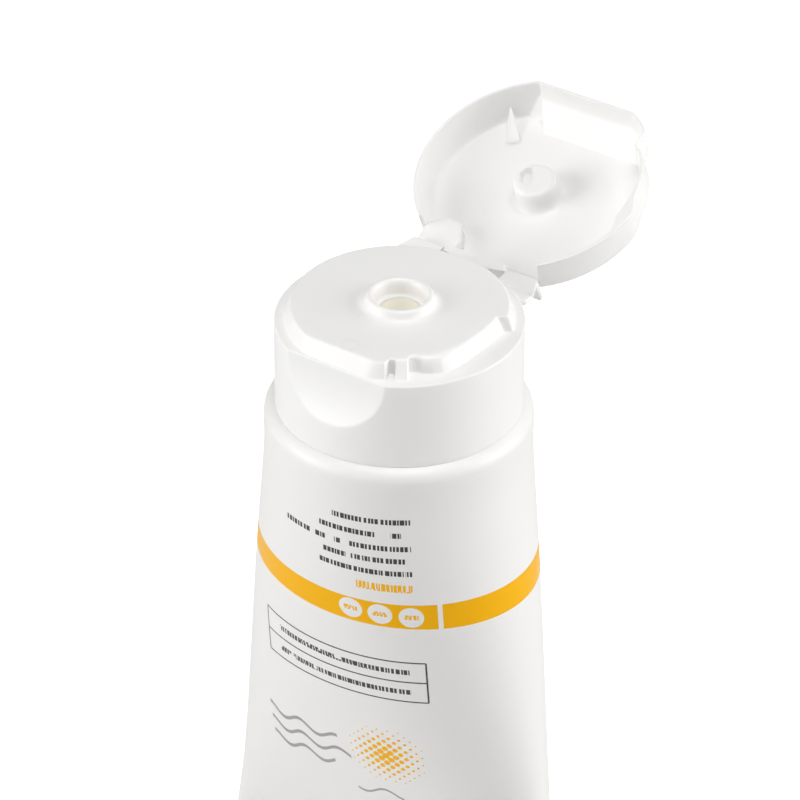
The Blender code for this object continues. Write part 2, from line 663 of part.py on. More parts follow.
def build_plug(parent, shift):
    """The plug that closes the mouth, hollow at its tip."""
    ceiling = LID_HEIGHT - LID_TOP_THICKNESS
    spread = PLUG_FOOT_RADIUS - PLUG_RADIUS
    profile = [
        (PLUG_FOOT_RADIUS, ceiling + JOIN),
        (PLUG_FOOT_RADIUS, ceiling),
        (PLUG_RADIUS + 0.3 * spread, ceiling - 0.4 * spread),
        (PLUG_RADIUS, ceiling - spread),
        (PLUG_RADIUS, PLUG_TIP_HEIGHT + FIT_GAP),
        (PLUG_RADIUS - FIT_GAP, PLUG_TIP_HEIGHT),
    ]
    plug = turned(profile, "plug", BORE_SEGMENTS, parent=parent)
    plug.location = shift
    outline = [(x * PLUG_RADIUS, y * PLUG_RADIUS) for x, y in PLUG_HOLLOW_SHARES]
    low = PLUG_TIP_HEIGHT - OVERRUN
    hollow = prism(outline, low, PLUG_TIP_HEIGHT + PLUG_HOLLOW_DEPTH, "plug_hollow", parent)
    hollow.location = shift
    return plug, hollow


def build_fin(parent, shift):
    """The gusset that stiffens the lid's slanted front, a thin upright triangle."""
    ceiling = LID_HEIGHT - LID_TOP_THICKNESS
    wall = CAP_RADIUS - LID_WALL
    side = [
        (wall - FIN_LENGTH, ceiling + JOIN),
        (wall - FIN_LENGTH, ceiling),
        (wall - LID_WALL / 2, ceiling - FIN_RISE),
        (wall, ceiling - FIN_RISE),
        (wall, ceiling + JOIN),
    ]
    return upright_plate(side, FIN_THICKNESS, math.radians(FIN_ANGLE), "gusset_fin", parent, shift)


def build_key(parent, shift):
    """The upright key on the lid's right wall, beside the deck's step."""
    ceiling = LID_HEIGHT - LID_TOP_THICKNESS
    wall = CAP_RADIUS - LID_WALL
    side = [
        (wall - KEY_REACH, ceiling + JOIN),
        (wall - KEY_REACH, KEY_FOOT + KEY_REACH),
        (wall - JOIN, KEY_FOOT),
        (wall + LID_RIM_WALL, KEY_FOOT),
        (wall + JOIN, ceiling + JOIN),
    ]
    return upright_plate(side, KEY_THICKNESS, math.radians(KEY_ANGLE), "wall_key", parent, shift)


def upright_plate(side, thickness, angle, name, parent, shift):
    """A plate that stands on a radius of the cap: its side view is given as (radius, height) points."""
    rings = []
    for offset in (-thickness / 2, thickness / 2):
        ring = []
        for along, height in side:
            x = along * math.sin(angle) + offset * math.cos(angle)
            y = -along * math.cos(angle) + offset * math.sin(angle)
            ring.append((x, y, height))
        rings.append(ring)
    plate = loft(rings, name, parent=parent)
    plate.location = shift
    return plate


def build_lid(parent, material):
    """The lid is drawn as it lies closed, then hangs from the upper film line, which is its origin."""
    shift = (0, -FILM_SETBACK, -film_height(1))
    lid = loft(lid_shell_rings(shift), "flip_lid", parent=parent, material=material)
    plug, hollow = build_plug(parent, shift)
    combine(lid, plug, "UNION")
    combine(lid, hollow, "DIFFERENCE")
    combine(lid, build_fin(parent, shift), "UNION")
    combine(lid, build_key(parent, shift), "UNION")
    top = film_height(1) + EAR_THICKNESS / 2 + HINGE_SLOT_ROOM
    combine(lid, build_hinge_slot(-OVERRUN, top, "lid_hinge_slot", parent, shift), "DIFFERENCE")
    outer = STRAP_TOP_OUTER_SHARE * CAP_RADIUS
    for ear in build_ears(outer, LID_EAR_ROOT, LID_RIM_WALL, film_height(1), "lid_ear", parent, shift):
        combine(lid, ear, "UNION")
    return lid


def build_strap(side, word, parent, material):
    """A flat link with round ends on both film lines, narrower at the lid."""
    radius = STRAP_THICKNESS / 2
    section = []
    for a in np.linspace(0, math.pi, 7):
        section.append((radius * math.cos(a), FILM_SPACING + radius * math.sin(a)))
    for a in np.linspace(math.pi, 2 * math.pi, 7):
        section.append((radius * math.cos(a), radius * math.sin(a)))
    foot_side = STRAP_FOOT_OUTER_SHARE * CAP_RADIUS
    slope = (STRAP_TOP_OUTER_SHARE - STRAP_FOOT_OUTER_SHARE) * CAP_RADIUS / FILM_SPACING
    inner = [(side * STRAP_INNER_SHARE * CAP_RADIUS, y, z) for y, z in section]
    outer = [(side * (foot_side + slope * z), y, z) for y, z in section]
    return loft([inner, outer], f"hinge_strap_{word}", parent=parent, material=material)


def film_line(name, location, parent):
    """An empty on a film line, turned by half of the lid's opening."""
    empty = bpy.data.objects.new(name, None)
    bpy.context.scene.collection.objects.link(empty)
    empty.parent = parent
    empty.location = location
    empty.rotation_euler = (-math.radians(LID_OPENING) / 2, 0, 0)
    return empty


def main():
    clear_scene()
    sleeve_plastic = plastic("sleeve_plastic", (0.86, 0.85, 0.83), 0.38)
    cap_plastic = plastic("cap_plastic", (0.88, 0.88, 0.87), 0.32)
    cream = plastic("cream", (0.93, 0.88, 0.76), 0.45)
    build_sleeve(sleeve_plastic)
    build_head(sleeve_plastic)
    build_cream(cream)
    ledge = bpy.data.objects.new("cap_ledge", None)
    bpy.context.scene.collection.objects.link(ledge)
    ledge.location = (0, 0, LEDGE_LEVEL)
    build_cap_base(ledge, cap_plastic)
    lower = film_line("lower_film_line", (0, FILM_SETBACK, film_height(-1)), ledge)
    upper = film_line("upper_film_line", (0, 0, FILM_SPACING), lower)
    for side, word in ((-1, "left"), (1, "right")):
        build_strap(side, word, lower, cap_plastic)
    build_lid(upper, cap_plastic)


main()
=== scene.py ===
# %% [markdown]
# # A squeeze tube with its lid open
#
# The object is a soft white tube of sunscreen that stands on its welded end, with a flip-top cap on its head.
# The imported model gives the fixed frame: the tube's body, two hinge straps and the lid.
# This script keeps those places, puts a finer surface round the sleeve, the cream, the cap's base and the lid,
# and gives each plastic its real finish.
#
# Heights on the cap are measured from its ledge, the level where base and lid part.
# The front of the cap, with its thumb recess, faces -Y, and angles on the cap run from there towards +X.

# %% Load the frame
import json
import math

import bmesh
import bpy
import numpy as np
from mathutils import Matrix

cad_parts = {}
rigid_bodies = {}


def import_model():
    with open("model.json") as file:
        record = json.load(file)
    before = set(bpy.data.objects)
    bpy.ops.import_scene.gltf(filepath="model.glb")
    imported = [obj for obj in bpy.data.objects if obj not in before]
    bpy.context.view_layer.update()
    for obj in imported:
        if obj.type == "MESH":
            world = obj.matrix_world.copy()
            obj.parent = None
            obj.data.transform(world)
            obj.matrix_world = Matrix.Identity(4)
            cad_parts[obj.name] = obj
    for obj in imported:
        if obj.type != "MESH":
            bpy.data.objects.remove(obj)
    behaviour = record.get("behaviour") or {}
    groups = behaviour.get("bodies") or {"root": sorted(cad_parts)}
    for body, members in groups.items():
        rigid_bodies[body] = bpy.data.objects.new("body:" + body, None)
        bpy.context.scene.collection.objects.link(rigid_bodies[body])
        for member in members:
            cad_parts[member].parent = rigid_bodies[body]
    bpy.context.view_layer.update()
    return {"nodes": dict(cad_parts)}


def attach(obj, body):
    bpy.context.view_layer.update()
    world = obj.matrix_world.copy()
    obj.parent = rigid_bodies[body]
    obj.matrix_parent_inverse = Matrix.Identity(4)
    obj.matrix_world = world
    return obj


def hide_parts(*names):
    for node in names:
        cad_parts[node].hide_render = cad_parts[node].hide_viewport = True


for leftover in list(bpy.data.objects):
    bpy.data.objects.remove(leftover, do_unlink=True)

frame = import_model()
nodes = frame["nodes"]
print("nodes:", ", ".join(sorted(nodes)))

MM = 0.001
LEDGE = 0.1153

# %% [markdown]
# ## Camera
#
# The picture is taken from above and to the right of the cap's front, with a long lens from about 0.6 m.
# A long lens keeps the tube's sides nearly parallel, as they are in the picture, so distance and lens are
# set together. The camera could be aimed with a constraint, but a matrix from three directions also holds
# its small roll.

# %% New objects


def placed(name, data):
    """A new object in the scene, with its data."""
    obj = bpy.data.objects.new(name, data)
    bpy.context.scene.collection.objects.link(obj)
    return obj


def aim(obj, place, right, up, back):
    """Puts a camera or a lamp at a place, with its own axes along three directions."""
    rotation = np.column_stack([right, up, back])
    obj.matrix_world = Matrix.Translation(place.tolist()) @ Matrix(rotation.tolist()).to_4x4()


# %% Place the camera
CAMERA_DISTANCE = 0.60005
CAMERA_SIDE_STEP = 0.00013
AIM_BELOW_LEDGE = 0.0145
ELEVATION = math.radians(33.836)
TURN = math.radians(33.956)
ROLL = math.radians(0.437)
FOCAL_PIXELS = 4064.1
SENSOR_WIDTH = 36.0
IMAGE_WIDTH = 800


def camera_axes():
    """The directions to the camera's right, up and ahead, from its elevation, its turn round the tube and its
    roll."""
    ahead = np.array([
        -math.cos(ELEVATION) * math.sin(TURN), math.cos(ELEVATION) * math.cos(TURN), -math.sin(ELEVATION),
    ])
    level = np.array([math.cos(TURN), math.sin(TURN), 0.0])
    upright = np.cross(level, ahead)
    right = math.cos(ROLL) * level + math.sin(ROLL) * upright
    up = math.cos(ROLL) * upright - math.sin(ROLL) * level
    return right, up, ahead


def add_camera():
    right, up, ahead = camera_axes()
    target = np.array([0.0, 0.0, LEDGE - AIM_BELOW_LEDGE])
    place = target - CAMERA_DISTANCE * ahead + CAMERA_SIDE_STEP * right
    data = bpy.data.cameras.new("camera")
    data.sensor_width = SENSOR_WIDTH
    data.lens = FOCAL_PIXELS * SENSOR_WIDTH / IMAGE_WIDTH
    camera = placed("camera", data)
    aim(camera, place, right, up, -ahead)
    bpy.context.scene.camera = camera
    return camera


camera = add_camera()
bpy.context.scene.view_settings.view_transform = "Standard"
print("lens, mm:", round(camera.data.lens, 1))

# %% [markdown]
# ## Surfaces from grids
#
# Every moulded piece here is round in one direction and has a profile in the other.
# So each one can be written as a grid of points: rows run along the profile, and columns run round the piece.
# Blender could turn a curve with its Screw modifier, but a grid can also change its profile from angle to
# angle.

# %% From a grid to a mesh


def surface(name, points, closed_profile=False, uv=None):
    """A mesh from points in rows and columns, with a four-sided face between each two neighbours each way.
    The columns close on themselves. A row whose points all meet becomes one vertex, so it closes an end.
    A print map has one more column than the points, so that its two ends can lie apart at the seam.
    The signed volume, a sum of tetrahedra over the faces, tells whether the faces point outwards."""
    rows, columns = points.shape[:2]
    index = np.arange(rows * columns).reshape(rows, columns)
    upper = np.roll(index, -1, axis=0) if closed_profile else index[1:]
    lower = index if closed_profile else index[:-1]
    quads = np.stack([lower, np.roll(lower, -1, 1), np.roll(upper, -1, 1), upper], axis=-1)
    corners = points.reshape(-1, 3)[quads.reshape(-1, 4)]
    volume = np.einsum("ij,ij->", corners[:, 0], np.cross(corners[:, 1], corners[:, 2]))
    volume += np.einsum("ij,ij->", corners[:, 0], np.cross(corners[:, 2], corners[:, 3]))
    if volume < 0:
        quads = quads[..., ::-1]
    mesh = bpy.data.meshes.new(name)
    mesh.from_pydata(points.reshape(-1, 3), [], quads.reshape(-1, 4))
    if uv is not None:
        flat = np.arange(rows * (columns + 1)).reshape(rows, columns + 1)
        places = np.stack([flat[:-1, :-1], flat[:-1, 1:], flat[1:, 1:], flat[1:, :-1]], axis=-1)
        if volume < 0:
            places = places[..., ::-1]
        layer = mesh.uv_layers.new(name="print")
        layer.uv.foreach_set("vector", uv.reshape(-1, 2)[places.reshape(-1)].astype(np.float32).ravel())
    bm = bmesh.new()
    bm.from_mesh(mesh)
    bmesh.ops.remove_doubles(bm, verts=bm.verts, dist=1e-7)
    bm.to_mesh(mesh)
    bm.free()
    mesh.shade_smooth()
    print(f"{name}: {len(mesh.vertices)} vertices, {len(mesh.polygons)} faces")
    return placed(name, mesh)


def merged(name, pieces):
    """One object from several closed surfaces, as one moulding has its ribs and lugs in one mesh."""
    bm = bmesh.new()
    for piece in pieces:
        bm.from_mesh(piece.data)
        bpy.data.objects.remove(piece, do_unlink=True)
    mesh = bpy.data.meshes.new(name)
    bm.to_mesh(mesh)
    bm.free()
    mesh.shade_smooth()
    return placed(name, mesh)


# %% Rows of a profile


def at(r, z, columns):
    """One row: its reach from the axis and its height, each a number or an array over the columns."""
    return np.stack([np.broadcast_to(r, columns), np.broadcast_to(z, columns)]).astype(float)


def unit_ring(columns):
    """The sine and the cosine of equal turns, from the back over the right side."""
    turn = np.arange(columns) / columns * 2 * math.pi
    return np.stack([np.sin(turn), np.cos(turn)], axis=-1)


def flat_row(outline, height):
    """A row of world points from an outline of x and y and one height."""
    return np.concatenate([outline, np.full((len(outline), 1), height)], axis=1)


def straight(start, end, count):
    """Rows in equal steps from one row towards another, without the last."""
    share = np.linspace(0, 1, count, endpoint=False)[:, None, None]
    return start * (1 - share) + end * share


def rounded(start, corner, end, count):
    """Rows on the curve that leaves start towards the corner and arrives at end from it, without the last:
    each is (1-s)^2 of start, 2s(1-s) of corner and s^2 of end."""
    s = np.linspace(0, 1, count, endpoint=False)[:, None, None]
    return start * (1 - s) ** 2 + corner * 2 * s * (1 - s) + end * s ** 2


def smooth_least(first, second, softness):
    """The smaller of two reaches, with the ridge where they meet rounded over about the softness."""
    gap = np.clip(0.5 + 0.5 * (second - first) / softness, 0, 1)
    return second * (1 - gap) + first * gap - softness * gap * (1 - gap)


def by_angle(angles, table):
    """Reads pairs of degrees and millimetres off between them at every column, in metres."""
    degrees, values = zip(*table)
    return np.interp(np.degrees(angles), degrees, values) * MM


def flat_cut(distance, angles, side=1):
    """The reach of an upright plane at a distance before the axis, or behind it where the side is -1."""
    return distance / np.maximum(side * np.cos(angles), 1e-3)


def polar_points(angles, profile):
    """World points from rows of reach and height: x is reach times the sine of the angle, and y is minus reach
    times its cosine."""
    reach, height = profile[:, 0], profile[:, 1]
    return np.stack([reach * np.sin(angles), -reach * np.cos(angles), LEDGE + height], axis=-1)


# %% [markdown]
# ## The sleeve
#
# The tube's body is an extruded sleeve of soft polyethylene, welded flat at its end.
# Film can't stretch, so its girth stays the same from the round shoulder to the flat weld: as it gets
# thinner, it gets wider, up to a quarter of the girth each side. That law gives the taper.
# The columns follow equal lengths of girth, so the same grid carries the print without stretching it.

# %% The sleeve's sizes
SLEEVE_RADIUS = 0.0200
SLEEVE_WALL = 0.0005
TAPER_LENGTH = 0.0896
ROUND_LENGTH = 0.0036
SHOULDER_EDGE = 0.0022
CRIMP_HEIGHT = 0.0060
CRIMP_THICKNESS = 0.0011
TAPER_EASE = 0.035
WELD_BEVEL = 0.0003
INSIDE_SHARE = 0.985
SLEEVE_COLUMNS = 320
GIRTH = 2 * math.pi * SLEEVE_RADIUS
TAPER_TOP = CRIMP_HEIGHT + TAPER_LENGTH
SLEEVE_TOP = TAPER_TOP + ROUND_LENGTH + SHOULDER_EDGE

# %% The sleeve's section law


def sleeve_section(share, inset, columns):
    """Points round the section at a share of the taper, from the back over the right side to the front and on.
    The half width grows evenly from the radius to a quarter of the girth, eased where it starts, and the half
    depth falls with the square of the share. The curve is an ellipse that squares up near the weld. It is
    first drawn finely, then points are read off at equal shares of its length."""
    eased = (math.hypot(share, TAPER_EASE) - TAPER_EASE) / (math.hypot(1, TAPER_EASE) - TAPER_EASE)
    width = SLEEVE_RADIUS * (1 + (math.pi / 2 - 1) * eased) - inset
    depth = max(SLEEVE_RADIUS * (1 - share ** 2) + CRIMP_THICKNESS / 2 * share ** 2 - inset, 0.00005)
    squareness = 1 - max(0.0, (share - 0.8) / 0.2) ** 2 * 0.98
    a = np.linspace(0, 2 * math.pi, 1441)
    x = width * np.sin(a)
    y = depth * np.sign(np.cos(a)) * np.abs(np.cos(a)) ** squareness
    length = np.concatenate([[0.0], np.cumsum(np.hypot(np.diff(x), np.diff(y)))])
    wanted = length[-1] * np.arange(columns) / columns
    return np.stack([np.interp(wanted, length, x), np.interp(wanted, length, y)], axis=-1)


def sleeve_surface():
    """Rows from the weld's bottom edge up the outside, over the shoulder's quarter round, and down the inside
    nearly to the weld."""
    ring = unit_ring(SLEEVE_COLUMNS)

    def edge(inset, quarter):
        centre = SLEEVE_RADIUS - SHOULDER_EDGE
        radius = SHOULDER_EDGE - inset
        reach = centre + radius * math.cos(quarter)
        return flat_row(ring * reach, SLEEVE_TOP - SHOULDER_EDGE + radius * math.sin(quarter))

    def taper(share, inset):
        return flat_row(sleeve_section(share, inset, SLEEVE_COLUMNS), TAPER_TOP - TAPER_LENGTH * share)

    weld = sleeve_section(1.0, 0.0, SLEEVE_COLUMNS)
    rows = [flat_row(weld * np.array([1.0, 0.0]), 0.0), flat_row(weld * np.array([0.997, 0.7]), 0.0)]
    rows += [flat_row(weld, h) for h in np.linspace(WELD_BEVEL, CRIMP_HEIGHT, 6)]
    shares = 1 - np.linspace(0, 1, 84)[1:] ** 1.15
    rows += [taper(s, 0.0) for s in shares]
    round_heights = np.linspace(TAPER_TOP, TAPER_TOP + ROUND_LENGTH, 4)[1:-1]
    rows += [flat_row(ring * SLEEVE_RADIUS, h) for h in round_heights]
    rows += [edge(0.0, q) for q in np.linspace(0, math.pi / 2, 10)]
    rows += [edge(SLEEVE_WALL, q) for q in np.linspace(math.pi / 2, 0, 6)]
    rows += [taper(s, SLEEVE_WALL) for s in np.linspace(0, INSIDE_SHARE, 24)]
    last = rows[-1].copy()
    last[:, 1] = 0.0
    rows.append(last)
    return np.array(rows)


def sleeve_print_map(points):
    """Where each point lies on the print: girth from the middle of the front, and height, both in decimetres.
    The last column is the first one again, a whole girth further on."""
    columns = points.shape[1]
    along = (0.5 - np.arange(columns + 1) / columns) * GIRTH * 10
    height = np.concatenate([points[..., 2], points[:, :1, 2]], axis=1) * 10
    return np.stack([np.broadcast_to(along, height.shape), height], axis=-1)


# %% Make the sleeve
sleeve_points = sleeve_surface()
sleeve_skin = surface("sleeve_skin", sleeve_points, uv=sleeve_print_map(sleeve_points))
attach(sleeve_skin, "tube")
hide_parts("tube_sleeve")
print("sleeve, mm wide at the weld:", round(float(np.ptp(sleeve_points[..., 0])) / MM, 1))

# %% [markdown]
# ## The cream
#
# The tube is full, so the cream has the sleeve's own shape from inside. It narrows through the head and the
# neck and stands in the cap's spout, the one place where it shows. Its top is a little domed, as it is after
# a squeeze. Lower down nobody sees it, so it needs no finer shape there.

# %% The cream's sizes, from the weld up, with reach and height in mm
CREAM_INSET = 0.0008
CREAM_LOW_SHARE = 0.96
CREAM_COLUMNS = 120
CREAM_STEPS = [
    (17.9, 96.7), (17.9, 98.9), (15.6, 98.9), (6.2, 103.3), (6.2, 111.0), (4.9, 111.0), (4.9, 116.3),
]
CREAM_DOME = [
    (4.8, 116.4), (3.1, 116.4), (3.04, 116.45), (3.04, 116.75), (2.9, 116.9), (2.2, 116.98), (1.2, 117.02),
    (0.0, 117.03),
]

# %% Make the cream


def cream_surface():
    """Rows up the sleeve's section law with an inset, then rings of reach times the sine and cosine of the
    turn."""
    ring = unit_ring(CREAM_COLUMNS)
    rows = []
    for share in np.linspace(CREAM_LOW_SHARE, 0, 30):
        outline = sleeve_section(share, CREAM_INSET, CREAM_COLUMNS)
        rows.append(flat_row(outline, TAPER_TOP - TAPER_LENGTH * share))
    rows.insert(0, rows[0] * np.array([1.0, 0.0, 1.0]))
    rows += [flat_row(ring * reach * MM, height * MM) for reach, height in CREAM_STEPS + CREAM_DOME]
    return np.array(rows)


cream_skin = surface("cream_skin", cream_surface())
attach(cream_skin, "tube")
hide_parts("cream_fill")

# %% [markdown]
# ## The cap's base
#
# The cap is injection moulded in polypropylene. Its base has a round skirt with a thumb recess, a ledge that
# the lid's rim meets, and a raised deck round the spout. The deck isn't round: it has a straight front wall,
# a groove and a small catch at that wall's right end, and a cut-back right side.
# All that could be cut from a cylinder with Booleans. Here the whole moulding is one grid, and the
# deck's edge is a reach that changes with the angle, so its corners stay soft like moulded ones.
# The skirt's outer edge reaches a little lower than its underside, down to the tube's rounded shoulder.

# %% The base's sizes
CAP_RADIUS = 0.01837
CAP_FLAT = 0.0163
SCOOP_RADIUS = 0.01885
SKIRT_HEIGHT = 0.01388
SKIRT_WALL = 0.00147
CUT_WALL = 0.001
EDGE_RADIUS = 0.00028
SKIRT_FOOT = 0.01394
FOOT_RADIUS = 0.00006
DECK_HEIGHT = 0.0025
DECK_TOP_FLAT = 0.01485
DECK_FOOT_FLAT = 0.01595
HINGE_CHORD = 0.0159
DECK_TOP_BACK = 0.01565
DECK_FOOT_BACK = 0.01585
HINGE_CUT_FLOOR = -0.0021
SCOOP_FLOOR = -0.0090
LOWER_FILM = -0.0009
LUG_MIDDLE = 0.00885
LUG_WIDTH = 0.0069
LUG_THICKNESS = 0.001

# %% Angles, closer together where there is more to draw


def spread_angles(stops):
    """Angles in degrees from (end, step) pairs, each span with its own step, starting at -180, in radians."""
    angles = [-180.0]
    for end, step in stops:
        start = angles[-1]
        angles += np.linspace(start, end, max(2, round((end - start) / step) + 1))[1:].tolist()
    return np.radians(np.array(angles[:-1]))


base_angles = spread_angles([
    (-70, 1.5), (-50, 0.8), (26, 0.55), (47, 0.3), (70, 0.6), (104, 1.0), (116, 0.3), (180, 1.2),
])
print("columns on the base:", len(base_angles))

# %% The deck's edge, in degrees and mm
DECK_TOP_REACH = [
    (-180, 16.05), (26.5, 16.05), (28.3, 14.95), (31.6, 14.95), (32.2, 14.95), (38.6, 14.95), (39.6, 14.2),
    (43.5, 14.2), (46.5, 14.7), (52, 15.0), (57, 15.05), (63, 14.7), (70, 14.3), (80, 14.0), (88, 13.9),
    (98, 14.05), (107, 14.4), (110.2, 14.5), (111.6, 16.05), (180, 16.05),
]
DECK_FOOT_REACH = [
    (-180, 16.85), (27.0, 16.85), (28.3, 15.1), (31.6, 15.1), (32.2, 16.85), (38.2, 16.85), (39.3, 14.6),
    (43.5, 14.8), (46.5, 15.2), (49, 15.4), (52, 15.8), (57, 16.05), (63, 15.8), (70, 15.3), (80, 14.8),
    (88, 14.6), (98, 14.85), (107, 15.4), (110.4, 15.5), (111.8, 16.85), (180, 16.85),
]
DECK_EDGE_SOFTNESS = [
    (-180, 0.35), (28, 0.3), (38, 0.3), (42, 0.7), (50, 1.1), (60, 1.0), (75, 0.6), (95, 0.4), (180, 0.3),
]


def deck_edge(angles):
    """The reach of the deck's top edge and of its foot, each the least of a table, the straight front and the
    straight cut behind, and how far from the edge its rounding starts."""
    top = smooth_least(by_angle(angles, DECK_TOP_REACH), flat_cut(DECK_TOP_FLAT, angles), 0.0004)
    top = smooth_least(top, flat_cut(DECK_TOP_BACK, angles, -1), 0.0004)
    foot = smooth_least(by_angle(angles, DECK_FOOT_REACH), flat_cut(DECK_FOOT_FLAT, angles), 0.0002)
    foot = smooth_least(foot, flat_cut(DECK_FOOT_BACK, angles, -1), 0.0003)
    return top, foot, by_angle(angles, DECK_EDGE_SOFTNESS)


# %% The skirt's outside


def scoop_distance(height):
    """How far in front of the axis the thumb recess lies: it is a cylinder lying on its side before the cap."""
    return CAP_FLAT + SCOOP_RADIUS - math.sqrt(SCOOP_RADIUS ** 2 - height ** 2)


def skirt_reach(angles, height):
    """The cap's round side, or the thumb recess or the hinge's cut where they lie further in."""
    scoop = flat_cut(scoop_distance(height), angles)
    reach = smooth_least(np.full_like(angles, CAP_RADIUS), scoop, 0.00012)
    if height > HINGE_CUT_FLOOR:
        reach = smooth_least(reach, flat_cut(HINGE_CHORD, angles, -1), 0.0002)
    return reach


# %% The base's profile, row by row
BORE_RADIUS = 0.0031
THROAT_RADIUS = 0.0036
MOUTH_RADIUS = 0.0039
LIP_RADIUS = 0.00505
LIP_HEIGHT = 0.00405
BOSS_FOOT = 0.0065
PLATE = 0.0013
COLLARS = [
    (13.0, -1.6), (13.0, 1.2), (10.4, 1.2), (10.4, -6.2), (9.4, -6.2), (9.4, 1.2), (6.2, 1.2), (6.2, -4.0),
    (5.2, -4.0), (5.2, 1.2),
]


def base_profile(angles):
    """Rows from the bore's lower edge, up through the mouth, over the lip, across the deck, down its wall, over
    the ledge, down the skirt, and back under the ledge round the two collars for the tube's neck. Each row has
    its own reach and height at each angle."""
    def row(r, z):
        return at(r, z, len(angles))

    top, foot, soft = deck_edge(angles)
    plate_low = DECK_HEIGHT - PLATE
    throat = row(THROAT_RADIUS, 0.0018)
    mouth = row(MOUTH_RADIUS - 0.0001, 0.0032)
    crest = row(MOUTH_RADIUS + 0.42 * (LIP_RADIUS - MOUTH_RADIUS), LIP_HEIGHT)
    lip_side = row(LIP_RADIUS, LIP_HEIGHT - 0.0007)
    boss_foot = row(BOSS_FOOT, DECK_HEIGHT)
    parts = [
        row(BORE_RADIUS, plate_low)[None],
        rounded(row(BORE_RADIUS, plate_low + 0.0002), row(BORE_RADIUS, 0.0016), throat, 4),
        straight(throat, mouth, 5),
        rounded(mouth, row(MOUTH_RADIUS, LIP_HEIGHT - 0.0002), crest, 7),
        rounded(crest, row(LIP_RADIUS - 0.0001, LIP_HEIGHT), lip_side, 7),
        rounded(lip_side, row(LIP_RADIUS + 0.0002, DECK_HEIGHT), boss_foot, 9),
        straight(boss_foot, row(top - soft, DECK_HEIGHT), 9),
    ]
    run = np.minimum(soft, 0.6 * DECK_HEIGHT) / DECK_HEIGHT
    below = row(top + (foot - top) * run, DECK_HEIGHT * (1 - run))
    lift = 0.09
    above = row(foot + (top - foot) * lift, DECK_HEIGHT * lift)
    edge = skirt_reach(angles, 0.0)
    rim_inner = edge - EDGE_RADIUS
    foot_out = np.minimum(foot + 0.0002, rim_inner - 0.00003)
    parts += [
        rounded(row(top - soft, DECK_HEIGHT), row(top, DECK_HEIGHT), below, 8),
        straight(below, above, 5),
        rounded(above, row(np.minimum(foot, rim_inner - 0.00005), 0.0), row(foot_out, 0.0), 4),
        straight(row(foot_out, 0.0), row(rim_inner, 0.0), 3),
        rounded(row(rim_inner, 0.0), row(edge, 0.0), row(skirt_reach(angles, -EDGE_RADIUS), -EDGE_RADIUS), 5),
    ]
    heights = np.concatenate([
        np.linspace(-EDGE_RADIUS, HINGE_CUT_FLOOR + 0.00002, 11),
        np.linspace(HINGE_CUT_FLOOR - 0.00002, SCOOP_FLOOR, 42),
        np.linspace(SCOOP_FLOOR - 0.0002, -SKIRT_FOOT + FOOT_RADIUS, 7),
    ])
    parts.append(np.array([row(skirt_reach(angles, h), h) for h in heights]))
    outer_low = row(CAP_RADIUS, -SKIRT_FOOT + FOOT_RADIUS)
    inner_low = row(CAP_RADIUS - FOOT_RADIUS, -SKIRT_FOOT)
    parts.append(rounded(outer_low, row(CAP_RADIUS, -SKIRT_FOOT), inner_low, 4))
    inside = []
    for h in np.linspace(-SKIRT_HEIGHT, -0.0016, 10):
        reach = np.minimum(CAP_RADIUS - SKIRT_WALL, flat_cut(scoop_distance(h) - CUT_WALL, angles))
        if h > HINGE_CUT_FLOOR - 0.002:
            reach = np.minimum(reach, flat_cut(HINGE_CHORD - CUT_WALL, angles, -1))
        inside.append(row(reach, h))
    parts.append(np.array(inside))
    parts.append(np.array([row(r * MM, z * MM) for r, z in COLLARS]))
    return np.concatenate(parts)


base_points = polar_points(base_angles, base_profile(base_angles))
print("rows on the base:", base_points.shape[0])

# %% Bars for the ribs and lugs


def bar(name, centres, across, upward, widths, thicknesses, squareness=0.35, columns=40):
    """A bar from its centre line: each row is a rounded rectangle, width times a power of the cosine across and
    thickness times a power of the sine upwards, and both ends close to a point in their middle."""
    a = np.linspace(0, 2 * math.pi, columns, endpoint=False)
    side = np.sign(np.cos(a)) * np.abs(np.cos(a)) ** squareness
    rise = np.sign(np.sin(a)) * np.abs(np.sin(a)) ** squareness
    centres, across, upward = (np.asarray(v, float) for v in (centres, across, upward))
    widths, thicknesses = np.asarray(widths, float), np.asarray(thicknesses, float)
    last = len(centres) - 1
    steps = [(0, 0.0, 0.0), (0, 0.82, 0.0), (0, 1.0, 0.12)] + [(k, 1.0, 0.0) for k in range(1, last)]
    steps += [(last, 1.0, -0.12), (last, 0.82, 0.0), (last, 0.0, 0.0)]
    rows = []
    for k, scale, slide in steps:
        ahead = centres[min(k + 1, last)] - centres[max(k - 1, 0)]
        ahead = ahead / np.linalg.norm(ahead)
        middle = centres[k] + ahead * slide * thicknesses[k]
        section = widths[k] / 2 * side[:, None] * across + thicknesses[k] / 2 * rise[:, None] * upward
        rows.append(middle + scale * section)
    return surface(name, np.array(rows))


def base_lug(name, side):
    """A flat lug that reaches back from the base to its film line."""
    centres = [(side * LUG_MIDDLE, y * MM, LEDGE + LOWER_FILM) for y in (14.6, 15.5, 16.65)]
    return bar(name, centres, (1, 0, 0), (0, 0, 1), [LUG_WIDTH] * 3, [LUG_THICKNESS] * 3)


# %% Make the cap's base
base_shell = surface("base_shell", base_points, closed_profile=True)
lugs = [base_lug("base_lug_left", -1), base_lug("base_lug_right", 1)]
cap_base_skin = merged("cap_base_skin", [base_shell, *lugs])
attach(cap_base_skin, "tube")
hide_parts("cap_base")

